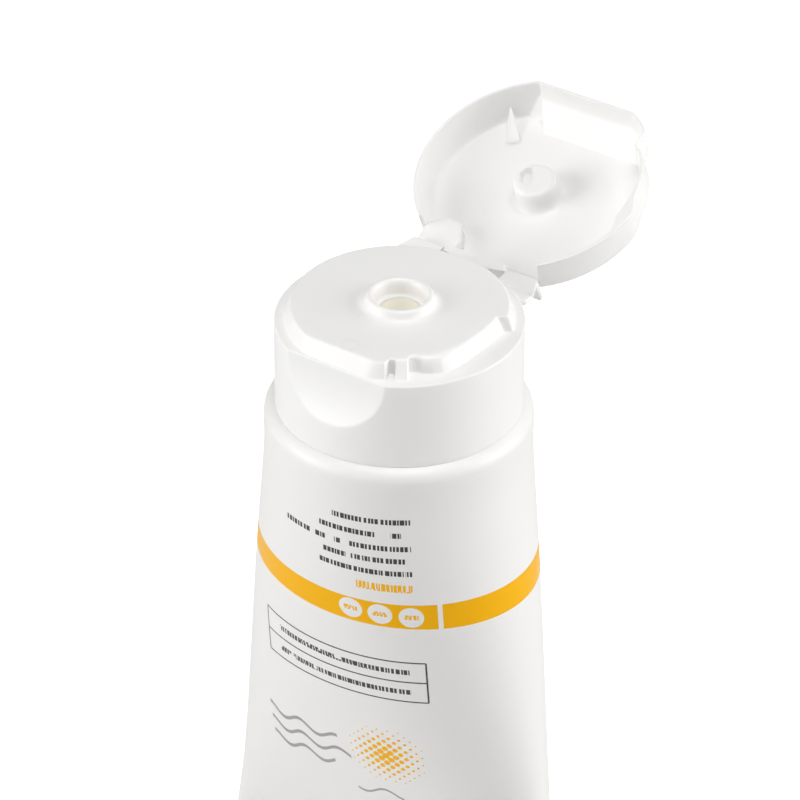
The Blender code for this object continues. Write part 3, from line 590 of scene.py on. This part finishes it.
# %% [markdown]
# ## The lid
#
# One side of the lid's wall is straight, like the deck's front under it, and slopes inwards like a visor. The
# wall is thin at the rim and gets thicker inwards. On the right it is set back, over the deck's cut-back side.
# Behind, it is cut away for the two straps, and between them it is thick. Inside, the lid has a plug for the
# spout, a gusset beside the visor, a small key on the right, and a block and two plates near the hinge.
# The lid is drawn closed, where its sizes make sense, and then every point is turned about both film lines of
# its hinge, just as the real lid swings.

# %% The lid's sizes and its swing
LID_HEIGHT = 0.00705
LID_WALL = 0.00127
RIM_WALL = 0.00047
LID_LIP = 0.0003
LID_CEILING = 0.0059
LID_RIM = 0.0003
REAR_RIM = 0.0013
STRAP_RIM = 0.0052
REAR_CHORD = 0.0164
LID_OPENING = math.radians(158)
FILM_DISTANCE = 0.0173
UPPER_FILM = 0.0017


def swing(points):
    """Turns points of the closed lid open: first about the upper film line, then, with that line, about the
    lower one, each by half of the opening. Turning about X by -h takes y to y cos h + z sin h, and z to
    z cos h - y sin h."""
    half = LID_OPENING / 2
    cosine, sine = math.cos(half), math.sin(half)

    def turned(p):
        x, y, z = p[..., 0], p[..., 1], p[..., 2]
        return np.stack([x, y * cosine + z * sine, z * cosine - y * sine], -1)

    upper = turned(points - np.array([0, FILM_DISTANCE, LEDGE + UPPER_FILM]))
    lower = turned(upper + np.array([0, 0, UPPER_FILM - LOWER_FILM]))
    return lower + np.array([0, FILM_DISTANCE, LEDGE + LOWER_FILM])


# %% Where the wall is set back, in degrees and mm
RIM_REACH = [
    (-180, 18.37), (38.5, 18.37), (41.5, 18.1), (44.5, 17.3), (47.5, 16.4), (49.5, 16.3), (53, 16.65),
    (60, 16.9), (70, 17.0), (80, 17.0), (84, 17.15), (89, 17.8), (93, 18.25), (97, 18.37), (180, 18.37),
]
INNER_REACH = [
    (-180, 30), (36, 30), (38.5, 17.9), (41.5, 17.65), (44.5, 16.85), (47.5, 15.95), (49.5, 15.85),
    (53, 16.2), (60, 16.45), (70, 16.55), (80, 16.5), (84, 16.4), (98, 16.4), (101, 16.9), (105, 17.4),
    (108, 17.9), (110, 30), (180, 30),
]
SET_BACK_AT_TOP = 0.6

# %% Where the wall's slopes start and end
TOP_ROUND_START = 0.66
VISOR_BREAK = 0.33
VISOR_SLOPE = 0.235
INNER_VISOR_START = -27.6
INNER_VISOR_SLOPE = 0.42
INNER_VISOR_EXTRA = 0.92
REAR_SLOPE = 0.8
SLOPE_BREAK = 0.0029
SLOPE_SOFTNESS = 0.0005
STRAP_CUT_LEFT = 40.5
STRAP_CUT_RIGHT = 33.5
STRAP_CUT_END = 18.6

# %% The lid's outlines


def round_over(h, start):
    """Zero below the start, then a quarter of an ellipse up to 1 at h = 1."""
    q = np.clip((h - start) / (1 - start), 0, 1)
    return 1 - np.sqrt(1 - q ** 2)


def soft_step(share):
    """Goes from 0 to 1 with level ends: 3 times the share squared less 2 times its cube."""
    share = np.clip(share, 0, 1)
    return share * share * (3 - 2 * share)


def lid_outer(angles, height):
    """The outside's reach at a height: a round side with a rounded top edge, cut by the visor, which slopes in
    from a third of the height on. Where the side is set back, it is so most at the rim."""
    h = height / LID_HEIGHT
    top_edge = round_over(h, TOP_ROUND_START)
    side = CAP_RADIUS * (1 - 0.012 * h - 0.113 * top_edge)
    visor = CAP_FLAT - CAP_RADIUS * (VISOR_SLOPE * np.maximum(0.0, h - VISOR_BREAK) + 0.07 * top_edge)
    step = CAP_RADIUS - by_angle(angles, RIM_REACH)
    side = side - step * (1 + (SET_BACK_AT_TOP - 1) * h)
    return smooth_least(side, flat_cut(visor, angles), 0.0002)


def lid_inner(angles, height, rim):
    """The inside's reach at a height, with a round corner at the ceiling. The wall grows evenly from its thin
    rim to its full thickness. Behind it is flat, and slopes in above the deck's height. So does the visor,
    which starts sharply at one angle on the left and runs into the round wall on the right."""
    w = (height - LID_RIM) / (LID_CEILING - LID_RIM)
    wall = RIM_WALL + (LID_WALL - RIM_WALL) * np.clip((height - rim) / (LID_CEILING - LID_RIM), 0, 1)
    side = CAP_RADIUS * (1 - 0.035 * w ** 2 - 0.02 * round_over(w, 0.85)) - wall
    side = np.minimum(side, by_angle(angles, INNER_REACH))
    side = np.minimum(side, lid_outer(angles, height) - np.minimum(0.0009, wall))
    above_deck = (np.hypot(height - SLOPE_BREAK, SLOPE_SOFTNESS) + height - SLOPE_BREAK) / 2
    side = smooth_least(side, flat_cut(REAR_CHORD - REAR_SLOPE * above_deck, angles, -1), 0.001)
    visor = CAP_FLAT - LID_LIP - INNER_VISOR_SLOPE * (height - LID_RIM) - INNER_VISOR_EXTRA * above_deck
    cut = smooth_least(side, flat_cut(visor, angles), 0.0003)
    return np.where(np.degrees(angles) > INNER_VISOR_START, cut, side)


def lid_rim_height(angles):
    """The rim lies level, is cut away over both straps, and comes down again between them."""
    behind = 180 - np.abs(np.degrees(angles))
    start = np.where(angles < 0, STRAP_CUT_LEFT, STRAP_CUT_RIGHT)
    rim = LID_RIM + (STRAP_RIM - LID_RIM) * soft_step((start - behind) / 1.2)
    return rim + (REAR_RIM - STRAP_RIM) * soft_step((STRAP_CUT_END - behind) / 1.8)


lid_angles = spread_angles([
    (-164, 1.5), (-160.5, 0.3), (-141.5, 1.2), (-138.5, 0.3), (-48, 1.3), (-28, 0.5), (-27.2, 0.1), (24, 0.9),
    (36, 0.5), (54, 0.35), (80, 1.0), (111, 0.6), (145.5, 1.3), (149, 0.3), (160.5, 1.2), (164, 0.3),
    (180, 1.5),
])

# %% The plug's tip
PLUG_RADIUS = 0.0033
PLUG_FOOT = 0.0046
PLUG_TIP = 0.0020
PLUG_ROOT = 0.0013
PLUG_ROUND = 0.0009
PLUG_HOLLOW = 0.0013
HOLLOW_SIDE = 0.0003
HOLLOW_OUTLINE = np.array([
    (-0.59, 0.35), (0.0, 0.47), (-0.12, -0.16), (-0.46, -0.65), (-0.75, -0.44), (-0.85, -0.10),
]) * PLUG_RADIUS


def hollow_depth(x, y):
    """How deep the hollow in the plug's tip goes at points of the tip: the least distance inside all sides of
    its outline, turned into a depth by a steep ramp. The outline runs clockwise, seen from above."""
    inside = np.full(np.shape(x), np.inf)
    middle = HOLLOW_OUTLINE.mean(0)
    for start, end in zip(HOLLOW_OUTLINE, np.roll(HOLLOW_OUTLINE, -1, axis=0)):
        along = (end - start) / np.linalg.norm(end - start)
        across = np.array([-along[1], along[0]])
        if (middle - start) @ across < 0:
            across = -across
        inside = np.minimum(inside, (x - start[0]) * across[0] + (y - start[1]) * across[1])
    return PLUG_HOLLOW * np.clip(inside / HOLLOW_SIDE, 0, 1)


# %% The lid's profile, row by row


def lid_profile(angles):
    """Rows from the middle of the top, out and down the outside, round the rim, up the inside, across the
    ceiling, down the plug and in across its tip."""
    def row(r, z):
        return at(r, z, len(angles))

    edge = lid_outer(angles, LID_HEIGHT)
    rim = lid_rim_height(angles)
    parts = [straight(row(0.0, LID_HEIGHT), row(edge, LID_HEIGHT), 9)]
    outside = []
    for h in 1 - np.linspace(0, 1, 34) ** 1.5 * 0.955:
        height = np.maximum(LID_HEIGHT * h, rim + 0.0002)
        outside.append(row(lid_outer(angles, height), height))
    parts.append(np.array(outside))
    outer = lid_outer(angles, rim)
    inner = np.minimum(lid_inner(angles, rim, rim), outer - 0.00035)
    parts += [
        rounded(row(outer, rim + 0.0002), row(outer, rim), row(outer - 0.00015, rim), 4),
        straight(row(outer - 0.00015, rim), row(inner + 0.00012, rim), 4),
        rounded(row(inner + 0.00012, rim), row(inner, rim), row(inner, rim + 0.00015), 4),
    ]
    inside = []
    for w in np.concatenate([np.linspace(0.03, 0.66, 16), np.linspace(0.68, 1.0, 16)]):
        height = np.maximum(LID_RIM + (LID_CEILING - LID_RIM) * w, rim + 0.00015)
        inside.append(row(np.minimum(lid_inner(angles, height, rim), inner), height))
    parts.append(np.array(inside))
    corner = lid_inner(angles, np.full(len(angles), LID_CEILING), rim)
    foot = row(PLUG_FOOT, LID_CEILING)
    root = row(PLUG_RADIUS, LID_CEILING - PLUG_ROOT)
    plug_side = row(PLUG_RADIUS, PLUG_TIP + PLUG_ROUND)
    tip_edge = row(PLUG_RADIUS - PLUG_ROUND, PLUG_TIP)
    tip_middle = row(0.0, PLUG_TIP)
    parts += [
        straight(row(corner - 0.0001, LID_CEILING), foot, 12),
        rounded(foot, row(PLUG_RADIUS + 0.0002, LID_CEILING), root, 7),
        straight(root, plug_side, 5),
    ]
    tip = np.concatenate([
        rounded(plug_side, row(PLUG_RADIUS, PLUG_TIP), tip_edge, 14),
        straight(tip_edge, tip_middle, 22),
        tip_middle[None],
    ])
    tip[:, 1] += hollow_depth(tip[:, 0] * np.sin(angles), -tip[:, 0] * np.cos(angles))
    parts.append(tip)
    return np.concatenate(parts)


lid_points = swing(polar_points(lid_angles, lid_profile(lid_angles)))
print("rows and columns on the lid:", lid_points.shape[:2])

# %% Ribs, plates and a block inside the lid


def lid_rib(name, start, end, stations, squareness=0.35):
    """An upright rib from one place to another on the closed lid, each given as x and the distance in front of
    the axis in mm. Each station is a share of the way, a lowest and highest height and a width."""
    start, end = (np.array([x, -front, 0.0]) * MM for x, front in (start, end))
    stations = np.array(stations) * np.array([1, MM, MM, MM])
    centres = start + stations[:, :1] * (end - start)
    centres[:, 2] = LEDGE + stations[:, 1:3].mean(1)
    along = (end - start) / np.linalg.norm(end - start)
    across = np.cross(along, [0, 0, 1])
    heights = stations[:, 2] - stations[:, 1]
    return bar(name, centres, across, (0, 0, 1), stations[:, 3], heights, squareness, 32)


def lid_block(name, outline, low, high):
    """An upright block from its outline of x and y in mm: points at equal steps along the sides, carried from
    its rounded lower face up to its upper one."""
    corners = np.array([*outline, outline[0]]) * MM
    length = np.concatenate([[0], np.cumsum(np.linalg.norm(np.diff(corners, axis=0), axis=1))])
    wanted = np.linspace(0, length[-1], 90, endpoint=False)
    points = np.stack([np.interp(wanted, length, corners[:, k]) for k in (0, 1)], -1)
    middle = points.mean(0)
    profile = [(0.0, low), (0.93, low), (0.985, low + 0.08), (1.0, low + 0.25), (1.0, high), (0.0, high)]
    rows = [flat_row(middle + scale * (points - middle), LEDGE + height * MM) for scale, height in profile]
    return surface(name, np.array(rows))


def opened(obj):
    """Swings a piece that was drawn on the closed lid open with it."""
    count = len(obj.data.vertices)
    flat = np.empty(count * 3)
    obj.data.vertices.foreach_get("co", flat)
    obj.data.vertices.foreach_set("co", swing(flat.reshape(-1, 3)).ravel())
    obj.data.update()
    return obj


# %% Make the lid
lid_shell = surface("lid_shell", lid_points)
gusset = lid_rib("gusset", (-9.0, 7.2), (-12.1, 12.3), [
    (0.0, 6.0, 6.3, 2.4), (0.1, 5.8, 6.3, 2.4), (0.3, 5.3, 6.2, 2.1), (0.5, 4.8, 6.1, 1.8),
    (0.75, 4.2, 6.1, 1.2), (1.0, 3.6, 6.1, 0.5),
], squareness=0.75)
key = lid_rib("key", (15.9, -3.7), (17.3, -4.1), [
    (0.0, 2.9, 6.0, 0.8), (0.5, 2.1, 6.0, 0.8), (1.0, 1.5, 6.0, 0.8),
])
BLOCK_OUTLINE = [(-11.6, 13.0), (-9.1, 10.8), (-6.5, 11.2), (-4.9, 14.1), (-5.3, 17.0), (-11.3, 17.0)]
block = lid_block("block", BLOCK_OUTLINE, 2.9, 6.1)
PLATE_OUTLINE = [(5.4, 16.95), (11.0, 16.95), (11.0, 17.6), (5.4, 17.6)]
plates = [
    lid_block(f"plate_{name}", [(side * x, y) for x, y in PLATE_OUTLINE], 2.15, 5.6)
    for name, side in (("left", -1), ("right", 1))
]
inside = [opened(piece) for piece in (gusset, key, block, *plates)]
lid_skin = merged("lid_skin", [lid_shell, *inside])
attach(lid_skin, "lid")
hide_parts("flip_lid")

# %% [markdown]
# ## Plastics, print and cream
#
# A finish is built from what the real surface is. Moulded polypropylene and the soft polyethylene sleeve are
# both white and satin, and light goes a little way into them, so their shadows are soft. The cap's white is
# very clean: inside the lid and the spout light is reflected many times, which makes a greyer white look dirty.
# Image textures could hold the print, but here it is drawn with maths on the sleeve's print map,
# so its edges stay sharp at any size.

# %% One function that adds a node


def linear(code):
    """A colour written as sRGB hex, in the linear values that Blender works with."""
    values = [int(code[k:k + 2], 16) / 255 for k in (1, 3, 5)]
    return tuple(v / 12.92 if v <= 0.04045 else ((v + 0.055) / 1.055) ** 2.4 for v in values)


def node(tree, kind, settings=None, links=None):
    """Adds one node. Settings are its properties, or values for its sockets by name or number, and links join
    sockets of it to outputs of other nodes."""
    added = tree.nodes.new("ShaderNode" + kind)
    for key, value in (settings or {}).items():
        if isinstance(key, str) and hasattr(added, key):
            setattr(added, key, value)
        else:
            added.inputs[key].default_value = value
    for key, output in (links or {}).items():
        tree.links.new(output, added.inputs[key])
    return added


def plastic(name, code, roughness, scatter=None):
    """A new material whose shader has the colour, roughness and index of a plastic. Scatter is how light goes
    into it: a weight, a share of the depth for red, green and blue, and the depth in metres."""
    material = bpy.data.materials.new(name)
    material.use_nodes = True
    shader = material.node_tree.nodes["Principled BSDF"]
    values = {"Base Color": (*linear(code), 1.0), "Roughness": roughness, "IOR": 1.49}
    if scatter:
        values.update(zip(("Subsurface Weight", "Subsurface Radius", "Subsurface Scale"), scatter))
    for socket, value in values.items():
        shader.inputs[socket].default_value = value
    return material, material.node_tree, shader


def grained(tree, shader, noise, strength, distance, under=None):
    """Raises the surface a little by a noise, and by another bump under it if there is one."""
    place = node(tree, "TexCoord").outputs["Object"]
    links = {"Height": node(tree, "TexNoise", noise, {"Vector": place}).outputs["Fac"]}
    if under:
        links["Normal"] = under.outputs["Normal"]
    bump = node(tree, "Bump", {"Strength": strength, "Distance": distance}, links)
    tree.links.new(bump.outputs["Normal"], shader.inputs["Normal"])


def dress(obj, material):
    obj.data.materials.clear()
    obj.data.materials.append(material)


# %% Moulded polypropylene for the cap
# The mould was finely blasted, which gives the cap its satin look. The grain is about 0.1 mm on the real cap,
# and is drawn at 0.25 mm so that it shows. Broader patches of gloss come from the flow of the melt.
# A thin ring, 2.5 mm across, is the mark of an ejector pin behind the deck's front edge.
scatter = (0.2, (1.0, 0.9, 0.8), 0.001)
cap_plastic, tree, shader = plastic("moulded_polypropylene", "#F9F8F6", 0.36, scatter)
place = node(tree, "TexCoord").outputs["Object"]
patches = node(tree, "TexNoise", {"Scale": 120.0, "Detail": 3.0}, {"Vector": place})
gloss = node(tree, "MapRange", {1: 0.3, 2: 0.7, 3: 0.31, 4: 0.42}, {0: patches.outputs["Fac"]})
tree.links.new(gloss.outputs["Result"], shader.inputs["Roughness"])
pin = (0.0005, -0.01325, LEDGE + DECK_HEIGHT)
away = node(tree, "VectorMath", {"operation": "DISTANCE", 1: pin}, {0: place})
ring = node(tree, "Math", {"operation": "COMPARE", 1: 0.00125, 2: 0.00013}, {0: away.outputs["Value"]})
ring_bump = node(tree, "Bump", {"Strength": 1.0, "Distance": 0.00025}, {"Height": ring.outputs[0]})
grained(tree, shader, {"Scale": 4000.0, "Detail": 2.0}, 0.25, 0.00003, ring_bump)
for piece in (cap_base_skin, lid_skin, nodes["hinge_strap_left"], nodes["hinge_strap_right"]):
    dress(piece, cap_plastic)

# %% Moulded polyethylene for the head
head_plastic, tree, shader = plastic("moulded_polyethylene", "#F0EEEA", 0.4)
grained(tree, shader, {"Scale": 2500.0, "Detail": 2.0}, 0.25, 0.00005)
dress(nodes["tube_shoulder"], head_plastic)

# %% [markdown]
# ## The sleeve's finish and its print
#
# The sleeve is extruded from soft polyethylene, so it is satin with a faint orange peel, and the jaws that weld
# its end press fine ribs into it. It is screen printed before the tube is filled, in orange, black and grey.
# The words are left off: rows of broken strokes stand where small print is, and a patch of dots and a few
# waves where a picture and a large number are. The print reads upside down when the cap is on top, and its
# lower part leans a little, because the sleeve widens.

# %% Soft polyethylene for the sleeve
scatter = (0.2, (1.0, 0.85, 0.7), 0.0008)
sleeve_plastic, tree, shader = plastic("extruded_polyethylene", "#F5F3F0", 0.40, scatter)
dress(sleeve_skin, sleeve_plastic)

# %% The print's own coordinates
print_map = node(tree, "UVMap", {"uv_map": "print"}).outputs["UV"]
on_print = node(tree, "VectorMath", {"operation": "SCALE", "Scale": 100.0}, {0: print_map}).outputs["Vector"]
split = node(tree, "SeparateXYZ", None, {0: on_print})
arc, height = split.outputs["X"], split.outputs["Y"]
lean = node(tree, "Math", {"operation": "MULTIPLY_ADD", "use_clamp": True, 1: -0.0042, 2: 0.315}, {0: height})
slip = node(tree, "Math", {"operation": "MULTIPLY"}, {0: arc, 1: lean.outputs[0]})
level = node(tree, "Math", {"operation": "SUBTRACT"}, {0: height, 1: slip.outputs[0]}).outputs[0]

# %% Masks for patches of ink


def patch(value_across, value_up, arcs, heights):
    """A mask that is 1 in a rectangle of the print, given its least and greatest arc and height in mm."""
    sides = []
    for value, (low, high) in ((value_across, arcs), (value_up, heights)):
        settings = {"operation": "COMPARE", 1: (low + high) / 2, 2: (high - low) / 2}
        sides.append(node(tree, "Math", settings, {0: value}).outputs[0])
    return node(tree, "Math", {"operation": "MULTIPLY"}, {0: sides[0], 1: sides[1]}).outputs[0]


def all_of(operation, masks):
    """Several masks joined by one operation: MAXIMUM gives their union and MULTIPLY what they share."""
    joined = masks[0]
    for mask in masks[1:]:
        joined = node(tree, "Math", {"operation": operation}, {0: joined, 1: mask}).outputs[0]
    return joined


def disc(centre, radius):
    """A mask that is 1 within a radius of a place on the print, in mm."""
    distance = node(tree, "VectorMath", {"operation": "DISTANCE", 1: (*centre, 0)}, {0: on_print})
    return node(tree, "Math", {"operation": "LESS_THAN", 1: radius}, {0: distance.outputs["Value"]}).outputs[0]


# %% Broken strokes that stand for small print
# Each row is cut into words of 2 to 5 mm, and each word into strokes about 0.6 mm apart, as letters are.
line = node(tree, "Math", {"operation": "SNAP", 1: 2.3}, {0: height}).outputs[0]
seat = node(tree, "CombineXYZ", None, {0: arc, 1: line}).outputs[0]
long_noise = node(tree, "TexNoise", {"Scale": 0.42, "Detail": 0.0}, {"Vector": seat}).outputs["Fac"]
short_noise = node(tree, "TexNoise", {"Scale": 1.3, "Detail": 1.0}, {"Vector": seat}).outputs["Fac"]
words = node(tree, "Math", {"operation": "GREATER_THAN", 1: 0.36}, {0: long_noise}).outputs[0]
uneven = node(tree, "Math", {"operation": "MULTIPLY_ADD", 1: 1.1}, {0: short_noise, 2: arc}).outputs[0]
teeth = node(tree, "Math", {"operation": "PINGPONG", 1: 0.3}, {0: uneven}).outputs[0]
strokes = node(tree, "Math", {"operation": "GREATER_THAN", 1: 0.085}, {0: teeth}).outputs[0]
print_texture = all_of("MULTIPLY", [words, strokes])
ROWS = [(92.8, 1.75), (90.45, -0.5), (88.1, -7.9), (85.9, -1.75), (83.65, -0.6)]
row_masks = [patch(arc, height, (left, 13.55), (middle - 0.45, middle + 0.45)) for middle, left in ROWS]
row_masks += [patch(arc, level, (-10.8, 12.3), (middle - 0.5, middle + 0.5)) for middle in (64.5, 60.35)]
small_print = all_of("MULTIPLY", [all_of("MAXIMUM", row_masks), print_texture])

# %% The box of thin lines
BOX_SIDES = (-14.1, 14.75)
BOX_LINES = (66.55, 62.45, 58.3)
LINE_WIDTH = 0.26
lines = [patch(arc, level, BOX_SIDES, (h - LINE_WIDTH / 2, h + LINE_WIDTH / 2)) for h in BOX_LINES]
lines += [patch(arc, level, (side - 0.13, side + 0.13), (BOX_LINES[-1], BOX_LINES[0])) for side in BOX_SIDES]
black_ink = all_of("MAXIMUM", [small_print, *lines])

# %% The orange band with its gap and three discs, and the orange strokes
DISCS = [(13.1, 75.7), (8.55, 75.85), (4.1, 75.95)]
gap = patch(arc, height, (16.93, 17.63), (70, 80))
cut_outs = all_of("MAXIMUM", [gap, *(disc(centre, 1.82) for centre in DISCS)])
kept = node(tree, "Math", {"operation": "SUBTRACT", 0: 1.0}, {1: cut_outs}).outputs[0]
band = all_of("MULTIPLY", [patch(arc, height, (-70, 70), (73.55, 78.0)), kept])
signs = [patch(arc, height, (x - 1.05, x + 1.05), (h - 0.42, h + 0.42)) for x, h in DISCS]
disc_print = all_of("MULTIPLY", [all_of("MAXIMUM", signs), strokes])
orange_row = all_of("MULTIPLY", [patch(arc, height, (5.24, 13.5), (80.25, 81.6)), strokes])

# %% A patch of orange dots
# The dots sit 1.2 mm apart on a lattice turned by 45 degrees, and shrink outwards from the patch's middle.
spot = node(tree, "CombineXYZ", None, {0: arc, 1: level}).outputs[0]
DOTS_MIDDLE = (6.98, 44.95, 0)
from_middle = node(tree, "VectorMath", {"operation": "SUBTRACT", 1: DOTS_MIDDLE}, {0: spot}).outputs["Vector"]
spread = node(tree, "VectorMath", {"operation": "LENGTH"}, {0: from_middle}).outputs["Value"]
turned = node(tree, "Mapping", {"Rotation": (0, 0, math.pi / 4)}, {"Vector": from_middle}).outputs[0]
settings = {"voronoi_dimensions": "2D", "Scale": 1 / 1.2, "Randomness": 0.0}
lattice = node(tree, "TexVoronoi", settings, {"Vector": turned}).outputs["Distance"]
reach = node(tree, "MapRange", {1: 0.0, 2: 6.8, 3: 0.56, 4: 0.08}, {0: spread}).outputs[0]
dots = node(tree, "Math", {"operation": "LESS_THAN"}, {0: lattice, 1: reach}).outputs[0]
edge = node(tree, "Math", {"operation": "LESS_THAN", 1: 6.6}, {0: spread}).outputs[0]
orange_ink = all_of("MAXIMUM", [band, disc_print, orange_row, all_of("MULTIPLY", [dots, edge])])

# %% Grey waves
swell = node(tree, "Math", {"operation": "MULTIPLY", 1: 0.85}, {0: arc}).outputs[0]
swell = node(tree, "Math", {"operation": "SINE"}, {0: swell}).outputs[0]
wavy = node(tree, "Math", {"operation": "MULTIPLY_ADD", 1: 0.8}, {0: swell, 2: level}).outputs[0]
WAVES = [(45.6, -1.5), (42.6, 0.5), (39.6, -3.0)]
waves = [patch(arc, wavy, (-16.5, end), (middle - 0.36, middle + 0.36)) for middle, end in WAVES]
waves.append(patch(arc, wavy, (0.5, 8.8), (35.2, 35.7)))
grey_ink = all_of("MAXIMUM", waves)

# %% Lay the three inks on the sleeve
# Black and grey are a little glossier than the film. The orange is a matt ink, so it keeps its strong colour.
settings = {"data_type": "RGBA", 6: (*linear("#F5F3F0"), 1), 7: (*linear("#FFBA00"), 1)}
colour = node(tree, "Mix", settings, {0: orange_ink}).outputs[2]
for code, mask in (("#3B3A3A", black_ink), ("#A3A09E", grey_ink)):
    colour = node(tree, "Mix", {"data_type": "RGBA", 7: (*linear(code), 1)}, {0: mask, 6: colour}).outputs[2]
tree.links.new(colour, shader.inputs["Base Color"])
inked = all_of("MAXIMUM", [orange_ink, black_ink, grey_ink])
shine = node(tree, "MapRange", {3: 0.42, 4: 0.30}, {0: inked})
tree.links.new(shine.outputs["Result"], shader.inputs["Roughness"])
gleam = node(tree, "MapRange", {3: 0.5, 4: 0.15}, {0: orange_ink})
tree.links.new(gleam.outputs["Result"], shader.inputs["Specular IOR Level"])

# %% Orange peel and the weld's ribs
# The peel has waves of about 2 mm. The ribs are 1 mm apart, only where the jaws pressed.
place = node(tree, "TexCoord").outputs["Object"]
peel = node(tree, "TexNoise", {"Scale": 500.0, "Detail": 1.0}, {"Vector": place}).outputs["Fac"]
where = node(tree, "SeparateXYZ", None, {0: place})
comb = node(tree, "Math", {"operation": "PINGPONG", 1: 0.0005}, {0: where.outputs["X"]}).outputs[0]
pressed = node(tree, "Math", {"operation": "LESS_THAN", 1: CRIMP_HEIGHT}, {0: where.outputs["Z"]}).outputs[0]
ribs = node(tree, "Math", {"operation": "MULTIPLY"}, {0: comb, 1: pressed}).outputs[0]
relief = node(tree, "Math", {"operation": "MULTIPLY", 1: 0.00001}, {0: peel}).outputs[0]
relief = node(tree, "Math", {"operation": "MULTIPLY_ADD", 1: 0.4}, {0: ribs, 2: relief}).outputs[0]
bump = node(tree, "Bump", {"Strength": 1.0, "Distance": 1.0}, {"Height": relief})
tree.links.new(bump.outputs["Normal"], shader.inputs["Normal"])

# %% Cream
# An emulsion of oil in water: smooth and glossy like wet paint, a warm white, and light goes far into it.
cream, tree, shader = plastic("sunscreen_cream", "#FBF3DF", 0.32, (0.5, (1.0, 0.8, 0.5), 0.002))
grained(tree, shader, {"Scale": 350.0, "Detail": 2.0, "Distortion": 1.5}, 0.5, 0.0003)
dress(cream_skin, cream)

# %% [markdown]
# ## Floor and light
#
# The picture has a pure white ground and soft light from both sides, so the edges of the tube are bright and
# its middle is a little darker. The camera sees the floor as white, and the light falls on it as on a plain
# pale floor.

# %% White floor that keeps a soft shadow


def for_camera(tree, seen, lit):
    """One shader for what the camera sees, and another for all other light."""
    links = {0: node(tree, "LightPath").outputs["Is Camera Ray"], 1: lit.outputs[0], 2: seen.outputs[0]}
    return node(tree, "MixShader", None, links).outputs[0]


bm = bmesh.new()
bmesh.ops.create_grid(bm, x_segments=1, y_segments=1, size=3.0)
floor_mesh = bpy.data.meshes.new("floor")
bm.to_mesh(floor_mesh)
bm.free()
floor = placed("floor", floor_mesh)
floor_paint = bpy.data.materials.new("white_sweep")
floor_paint.use_nodes = True
tree = floor_paint.node_tree
tree.nodes.clear()
matt = node(tree, "BsdfDiffuse", {"Color": (0.80, 0.80, 0.80, 1.0)})
seen = node(tree, "Emission", {"Color": (1.0, 1.0, 1.0, 1.0), "Strength": 0.78})
both = node(tree, "AddShader", None, {0: matt.outputs[0], 1: seen.outputs[0]})
node(tree, "OutputMaterial", None, {"Surface": for_camera(tree, both, matt)})
dress(floor, floor_paint)

# %% World and lamps
WORLD_FILL = 0.175
LAMP_DISTANCE = 0.8
LAMP_SIZE = 0.5
world = bpy.data.worlds.new("studio")
bpy.context.scene.world = world
world.use_nodes = True
tree = world.node_tree
tree.nodes.clear()
shown = node(tree, "Background", {"Color": (1.0, 1.0, 1.0, 1.0), "Strength": 1.0})
fill = node(tree, "Background", {"Color": (1.0, 1.0, 1.0, 1.0), "Strength": WORLD_FILL})
node(tree, "OutputWorld", None, {"Surface": for_camera(tree, shown, fill)})


def soft_lamp(name, azimuth, elevation, power):
    """A square lamp that faces the cap, placed by its direction from it: azimuth from the camera's side, to the
    right, and elevation above the level."""
    turn = TURN + math.radians(azimuth)
    rise = math.radians(elevation)
    away = np.array([math.cos(rise) * math.sin(turn), -math.cos(rise) * math.cos(turn), math.sin(rise)])
    data = bpy.data.lights.new(name, "AREA")
    data.shape = "SQUARE"
    data.size = LAMP_SIZE
    data.energy = power
    side = np.cross([0.0, 0.0, 1.0], away)
    side /= np.linalg.norm(side)
    place = np.array([0, 0, LEDGE - 0.02]) + away * LAMP_DISTANCE
    aim(placed(name, data), place, side, np.cross(away, side), away)


soft_lamp("left_softbox", -75, 15, 3.8)
soft_lamp("right_softbox", 85, 15, 3.9)
soft_lamp("top_softbox", 15, 75, 3.3)
